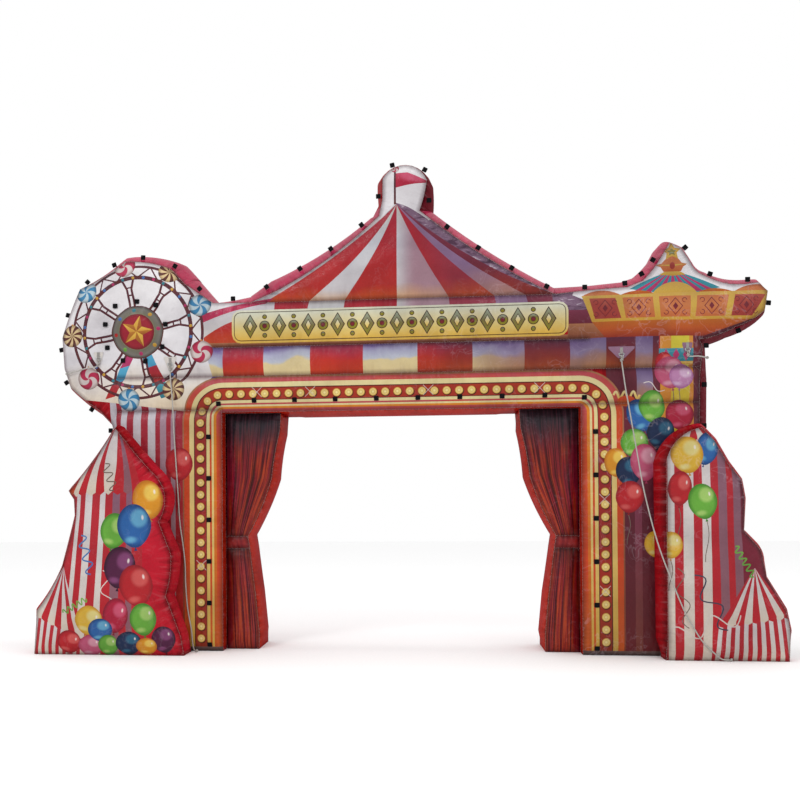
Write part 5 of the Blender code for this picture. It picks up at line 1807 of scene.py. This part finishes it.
# Drawn and galvanised steel wire: dull zinc bloom, a fine mottle in its colour, roughness and relief.
def steelLook(name):
    made, tree, shader = newMaterial(name)
    bloom = addNoise(tree, objectPlace(tree), 160.0, 3.0)
    setInputs(tree, shader, {
        "Base Color": rampOver(tree, bloom, [(0.35, "#9EA2A6"), (0.65, "#C6C9CC")]),
        "Roughness": stretch(tree, bloom, 0.0, 1.0, 0.24, 0.46),
        "Normal": addRelief(tree, 0.0002, bloom, strength=0.4),
        "Metallic": 1.0,
    })
    return made


# Woven cloth and webbing: crossing threads.  pitch and depth are in millimetres.
def wovenLook(name, dark, light, pitch, depth, roughness):
    made, tree, shader = newMaterial(name)
    place = objectPlace(tree)
    x, _, z = splitPlace(tree, place)
    crossed = calculate(tree, "MULTIPLY", *crossThreads(tree, x, z, pitch / 1000))
    weave = calculate(tree, "MULTIPLY_ADD", crossed, 0.5, 0.5)
    level = calculate(tree, "MULTIPLY_ADD", addNoise(tree, place, 30.0, 3.0), 0.4,
                      calculate(tree, "MULTIPLY", weave, 0.6))
    setInputs(tree, shader, {
        "Base Color": rampOver(tree, level, [(0.15, dark), (0.75, light)]),
        "Normal": addRelief(tree, depth / 1000, weave, strength=0.8),
        "Roughness": roughness,
        "Specular IOR Level": 0.25,
    })
    return made


# Braided rope and twisted thread: strands that cross on the slant.  pitch is in millimetres.
def braidedLook(name, dark, light, pitch):
    made, tree, shader = newMaterial(name)
    x, y, z = splitPlace(tree, objectPlace(tree))
    side = calculate(tree, "ADD", x, y)
    slants = [calculate(tree, way, side, z) for way in ("ADD", "SUBTRACT")]
    crossed = calculate(tree, "MAXIMUM", *crossThreads(tree, *slants, pitch / 1000))
    braid = calculate(tree, "MULTIPLY_ADD", crossed, 0.5, 0.5)
    setInputs(tree, shader, {
        "Base Color": rampOver(tree, braid, [(0.1, dark), (0.8, light)]),
        "Normal": addRelief(tree, 0.0008, braid, strength=0.8),
        "Roughness": 0.7,
    })
    return made


# Napped hook-and-loop tape: a pile of tiny loops.
def nappedLook(name, dark, light):
    made, tree, shader = newMaterial(name)
    loops = addNode(tree, "ShaderNodeTexVoronoi", inputs={"Vector": objectPlace(tree), "Scale": 600.0})
    setInputs(tree, shader, {
        "Base Color": rampOver(tree, loops.outputs["Distance"], [(0.1, light), (0.7, dark)]),
        "Normal": addRelief(tree, 0.0008, loops.outputs["Distance"]),
        "Roughness": 0.95,
        "Specular IOR Level": 0.1,
    })
    return made


fittingLooks = {
    "steel": steelLook("galvanised_steel_wire"),
    "patchLight": wovenLook("patch_cloth_light", "#A8A29E", "#C8C2BC", 1.6, 0.3, 0.5),
    "patchDark": wovenLook("patch_cloth_dusk", "#6A4A5C", "#86647A", 1.6, 0.3, 0.5),
    "webbing": wovenLook("webbing_polyester_woven", "#6E6A68", "#98948F", 2.4, 0.5, 0.8),
    "rope": braidedLook("rope_polyamide_braided", "#6E6A66", "#ACA8A2", 7.0),
    "pad": nappedLook("hook_tape_napped_black", "#060607", "#1C1C20"),
    "thread": braidedLook("sewing_thread_polyester", "#8A6A66", "#C0A8A2", 1.5),
}
archTree = bodyTree(arch)
ringFrames = makeFittings(archTree)
makeRopes(ringFrames, [archTree] + [bodyTree(wing) for wing in wings])


# Hook-and-loop pads for a string of lamps: some lie on the front, some stand on the edges.
padSizes = {"wide": 0.050, "thick": 0.006, "corner": 0.006}
padRings = [  # inset and height, to a stitched groove
    (0.001, 0.0), (0.0, 0.0012), (0.0, 0.0044), (0.0016, 0.006), (0.006, 0.006), (0.0068, 0.0053),
    (0.0078, 0.006),
]
framePads = {"x": 2.015, "first": 0.075, "pitch": 0.443, "count": 6, "cornerX": 1.91, "cornerZ": 2.645}
topPads = {"first": -1.52, "pitch": 0.433, "count": 8, "z": 2.672}
# x, z nearby, the way up from the edge, and the depth
roofPads = [
    (-1.403, 3.907, -0.55, 0.83, 0.10), (-1.041, 4.095, -0.55, 0.83, 0.10),
    (-0.708, 4.298, -0.57, 0.82, 0.10), (-0.361, 4.518, -0.60, 0.80, 0.10),
    (-0.169, 4.830, -1.00, 0.00, 0.08), (-0.050, 5.190, -0.20, 0.98, 0.08),
    (0.310, 5.110, 0.50, 0.87, 0.08), (0.492, 4.418, 0.60, 0.80, 0.03), (0.827, 4.201, 0.55, 0.83, 0.03),
    (1.178, 3.988, 0.52, 0.85, 0.03), (1.536, 3.790, 0.50, 0.87, 0.03),
]
otherPads = [
    (-1.771, 3.736, 0.00, 1.00, 0.10), (1.932, 3.762, 0.00, 1.00, 0.03), (0.215, 4.760, 1.00, 0.00, 0.06),
    (2.340, 3.780, -0.10, 1.00, 0.04), (2.520, 3.890, -0.50, 0.87, 0.06),
    (2.640, 4.050, -0.85, 0.53, 0.08), (2.920, 4.150, 0.75, 0.66, 0.05), (3.170, 3.860, 0.35, 0.94, 0.04),
    (3.550, 3.800, 0.00, 1.00, 0.05), (3.730, 3.590, 1.00, -0.10, 0.10), (3.450, 3.350, 0.30, -0.95, 0.08),
    (3.100, 3.160, 1.00, 0.00, 0.05), (3.060, 2.760, 1.00, 0.00, 0.04), (3.040, 2.340, 1.00, 0.00, 0.04),
    (-3.070, 2.380, -1.00, 0.00, 0.05), (-3.055, 4.110, -0.34, 0.94, 0.08),
    (-3.360, 3.985, -0.71, 0.70, 0.10), (-3.545, 3.640, -0.96, 0.27, 0.10),
    (-3.640, 3.290, -0.98, -0.18, 0.10), (-3.620, 2.930, -0.85, -0.52, 0.10),
    (-3.280, 2.730, -0.55, -0.83, 0.10), (-2.760, 4.180, 0.06, 1.00, 0.06),
    (-2.420, 4.110, 0.50, 0.87, 0.04), (-2.180, 3.850, 0.75, 0.66, 0.04),
]
tiePads = [
    (-3.04, 3.72), (-2.80, 3.76), (-2.59, 3.72), (-2.48, 3.51), (-2.52, 3.27), (-2.71, 3.12), (-2.96, 3.13),
    (-3.13, 3.27), (-3.15, 3.52),
]


# The frame of a pad that stands on the side wall and faces forward: x along the edge, y outwards.
def standUp(tree, point, outward):
    across = outward.cross(forwards)
    half, thick = padSizes["wide"] / 2, padSizes["thick"]
    highest = -1.0
    for i in range(-4, 5):
        for j in range(4):
            spot = point + across * half * i / 4 + forwards * thick * j / 3
            found = tree.ray_cast(spot + outward * 0.5, -outward)
            if found[0] is not None:
                highest = max(highest, 0.5 - found[3])
    return frameOf(across, outward, forwards, point + outward * (highest + puff["gap"] + half))


def padFrames(tree):
    half = padSizes["wide"] / 2
    square = [(-half, -half), (half, -half), (half, half), (-half, half)]
    places, nodes = [], []
    for side, sign in (("left", -1), ("right", 1)):
        for i in range(framePads["count"]):
            places.append((sign * framePads["x"], framePads["first"] + framePads["pitch"] * i))
            nodes.append(f"pad_{side}_{i + 1}")
        places.append((sign * framePads["cornerX"], framePads["cornerZ"]))
        nodes.append(f"pad_corner_{side}")
    places += [(topPads["first"] + topPads["pitch"] * i, topPads["z"]) for i in range(topPads["count"])]
    nodes += [f"pad_top_{i + 1}" for i in range(topPads["count"])]
    nodes += [f"pad_roof_{i + 1}" for i in range(len(roofPads))]
    frames = [seatOn(tree, Vector((x, 0, z)) - drawingOrigin, square) for x, z in places + tiePads]
    frames += [standUp(tree, Vector((x, depth, z)) - drawingOrigin, Vector((outX, 0, outZ)).normalized())
               for x, z, outX, outZ, depth in roofPads + otherPads]
    return frames, nodes


def padMesh():
    half = padSizes["wide"] / 2
    verts = []
    for inset, height in padRings:
        bend = max(padSizes["corner"] - inset, 0.002)
        for cx, cy, first in ((1, 1, 0), (-1, 1, 90), (-1, -1, 180), (1, -1, 270)):
            middle = half - inset - bend
            verts += [(*around(cx * middle, cy * middle, bend, first + t), height) for t in (0, 30, 60, 90)]
    return verts, joinRings(len(padRings), len(verts) // len(padRings))


# A node tree that grows a mesh, and its named inputs.
def growingTree(name, inputs):
    tree = bpy.data.node_groups.new(name, "GeometryNodeTree")
    for socket, kind in inputs.items():
        tree.interface.new_socket(socket, in_out="INPUT", socket_type="NodeSocket" + kind)
    tree.interface.new_socket("Grown", in_out="OUTPUT", socket_type="NodeSocketGeometry")
    return tree, addNode(tree, "NodeGroupInput").outputs


# Ends a tree: copies of its shape at points, made real and given its look.
def growCopies(tree, given, points, turn, chosen=True):
    taken = addNode(tree, "GeometryNodeObjectInfo", inputs={"Object": given["Shape"]})
    placed = addNode(tree, "GeometryNodeInstanceOnPoints", inputs={
        "Points": points, "Selection": chosen, "Instance": taken.outputs["Geometry"], "Rotation": turn})
    solid = addNode(tree, "GeometryNodeRealizeInstances", inputs={"Geometry": placed.outputs["Instances"]})
    dressed = addNode(tree, "GeometryNodeSetMaterial", inputs={
        "Geometry": solid.outputs["Geometry"], "Material": given["Look"]})
    addNode(tree, "NodeGroupOutput", inputs={"Grown": dressed.outputs["Geometry"]})


# Lays copies of a shape at frames, and returns them as one plain mesh.
def layCopies(name, template, frames, look):
    spots = plainPiece(name + "_spots", [frame.translation for frame in frames], [], [])
    turns = spots.data.attributes.new("turn", "FLOAT_VECTOR", "POINT")
    turns.data.foreach_set("vector", [angle for frame in frames for angle in frame.to_euler()])
    tree, given = growingTree(name + "_copies",
                              {"Spots": "Geometry", "Shape": "Object", "Look": "Material"})
    turn = addNode(tree, "GeometryNodeInputNamedAttribute", {"data_type": "FLOAT_VECTOR"}, {"Name": "turn"})
    spin = addNode(tree, "FunctionNodeEulerToRotation", inputs={0: turn.outputs["Attribute"]})
    growCopies(tree, given, given["Spots"], spin.outputs[0])
    return growPlain(name, spots, tree, {"Shape": template, "Look": look})


# Runs a tree on its host, keeps the result as a plain mesh and clears the host and the shape away.
def growPlain(name, host, tree, inputs):
    maker = host.modifiers.new("maker", "NODES")
    maker.node_group = tree
    sockets = {item.name: item.identifier for item in tree.interface.items_tree if item.in_out == "INPUT"}
    for key, value in inputs.items():
        maker[sockets[key]] = value
    made = bpy.data.meshes.new_from_object(host.evaluated_get(bpy.context.evaluated_depsgraph_get()))
    made.name = name
    if "turn" in made.attributes:
        made.attributes.remove(made.attributes["turn"])
    host.modifiers.remove(maker)
    for spare in (host, inputs["Shape"]):
        bpy.data.objects.remove(spare, do_unlink=True)
    print(f"{name}: {len(made.polygons)} faces")
    return addObject(name, made)


# Stitches along every seam of a cloth body.  Real ones are 4 mm apart, too fine to show, so drawn coarse.
seamThread = {"pitch": 0.016, "long": 0.010, "thick": 0.0026, "lowest": 0.006}


def sewSeams(name, cloth):
    half, thick = seamThread["long"] / 2, seamThread["thick"] / 2
    verts = [(x, y, z) for x in (-half * 0.6, half * 0.6)
             for y, z in ((thick, 0), (0, thick), (-thick, 0), (0, -thick))]
    verts = [(-half, 0, 0)] + verts + [(half, 0, 0)]
    faces = []
    for i in range(4):
        a, b = 1 + i, 1 + (i + 1) % 4
        faces += [(0, b, a), (a, b, b + 4, a + 4), (a + 4, b + 4, 9)]
    stitch = plainPiece("stitch_shape", verts, faces, [fittingLooks["thread"]])
    host = plainPiece(name + "_host", [(0, 0, 0)], [], [])
    tree, given = growingTree(name + "_sewing", {"Host": "Geometry", "Cloth": "Object", "Shape": "Object",
                                                 "Pitch": "Float", "Lowest": "Float", "Look": "Material"})
    cut = addNode(tree, "GeometryNodeObjectInfo", inputs={"Object": given["Cloth"]})
    seam = addNode(tree, "GeometryNodeInputNamedAttribute", {"data_type": "BOOLEAN"},
                   {"Name": "sharp_edge"})
    line = addNode(tree, "GeometryNodeMeshToCurve", inputs={
        "Mesh": cut.outputs["Geometry"], "Selection": seam.outputs["Attribute"]})
    even = addNode(tree, "GeometryNodeResampleCurve", {"mode": "LENGTH"}, {
        "Curve": line.outputs["Curve"], "Length": given["Pitch"]})
    run = addNode(tree, "GeometryNodeInputTangent")
    along = addNode(tree, "FunctionNodeAlignRotationToVector", {"axis": "X"}, {"Vector": run.outputs[0]})
    spot = addNode(tree, "GeometryNodeInputPosition")
    clear = addNode(tree, "FunctionNodeCompare", {"data_type": "FLOAT", "operation": "GREATER_THAN"}, {
        "A": splitPlace(tree, spot.outputs[0])["Z"], "B": given["Lowest"]})
    growCopies(tree, given, even.outputs["Curve"], along.outputs[0], clear.outputs[0])
    sewing = growPlain(name, host, tree, {"Cloth": cloth, "Shape": stitch, "Pitch": seamThread["pitch"],
                                          "Lowest": seamThread["lowest"], "Look": fittingLooks["thread"]})
    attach(sewing, "root")
    return sewing


def makePads(tree):
    frames, nodes = padFrames(tree)
    template = plainPiece("pad_shape", *padMesh(), [fittingLooks["pad"]], smooth=False)
    finishPiece(layCopies("hook_pads", template, frames, fittingLooks["pad"]), nodes)
    print("pads:", len(frames))


makePads(archTree)
for cloth in [arch] + wings + curtains:
    sewSeams(cloth.name.replace("cloth", "stitches"), cloth)


# The floor and the lights.
studio = {
    "floorSize": 60.0, "floorColours": [(0.3, "#F6F6F6"), (0.7, "#FCFCFC")], "sky": 1.0,
    "lamps": [  # name, place, aim, size, watts
        ("key", (-6, -9, 11), (0, 0, 2.5), 3.0, 420),
        ("fill", (8, -10, 6), (0, 0, 2), 6.0, 90),
        ("top", (1.5, 0.5, 12), (0, 0.4, 3), 4.0, 260),
    ],
}


def makeStudio():
    bpy.ops.mesh.primitive_plane_add(size=studio["floorSize"], location=(0, 0, 0))
    floor = bpy.context.object
    floor.name = "floor"
    paper, tree, shader = newMaterial("floor_paper_matt")
    grain = addNoise(tree, objectPlace(tree), 40.0, 3.0)
    setInputs(tree, shader, {"Base Color": rampOver(tree, grain, studio["floorColours"]), "Roughness": 0.9})
    floor.data.materials.append(paper)
    world = bpy.data.worlds.new("studio")
    bpy.context.scene.world = world
    world.use_nodes = True
    sky = world.node_tree.nodes["Background"]
    setInputs(world.node_tree, sky, {"Color": (1, 1, 1, 1), "Strength": studio["sky"]})
    for name, spot, aim, size, power in studio["lamps"]:
        data = bpy.data.lights.new(name, "AREA")
        data.size = size
        data.energy = power
        lamp = addObject(name, data)
        lamp.location = spot
        lamp.rotation_euler = (Vector(aim) - Vector(spot)).to_track_quat("-Z", "Y").to_euler()
    bpy.context.scene.view_settings.view_transform = "Standard"
    print("floor and lights placed")


makeStudio()
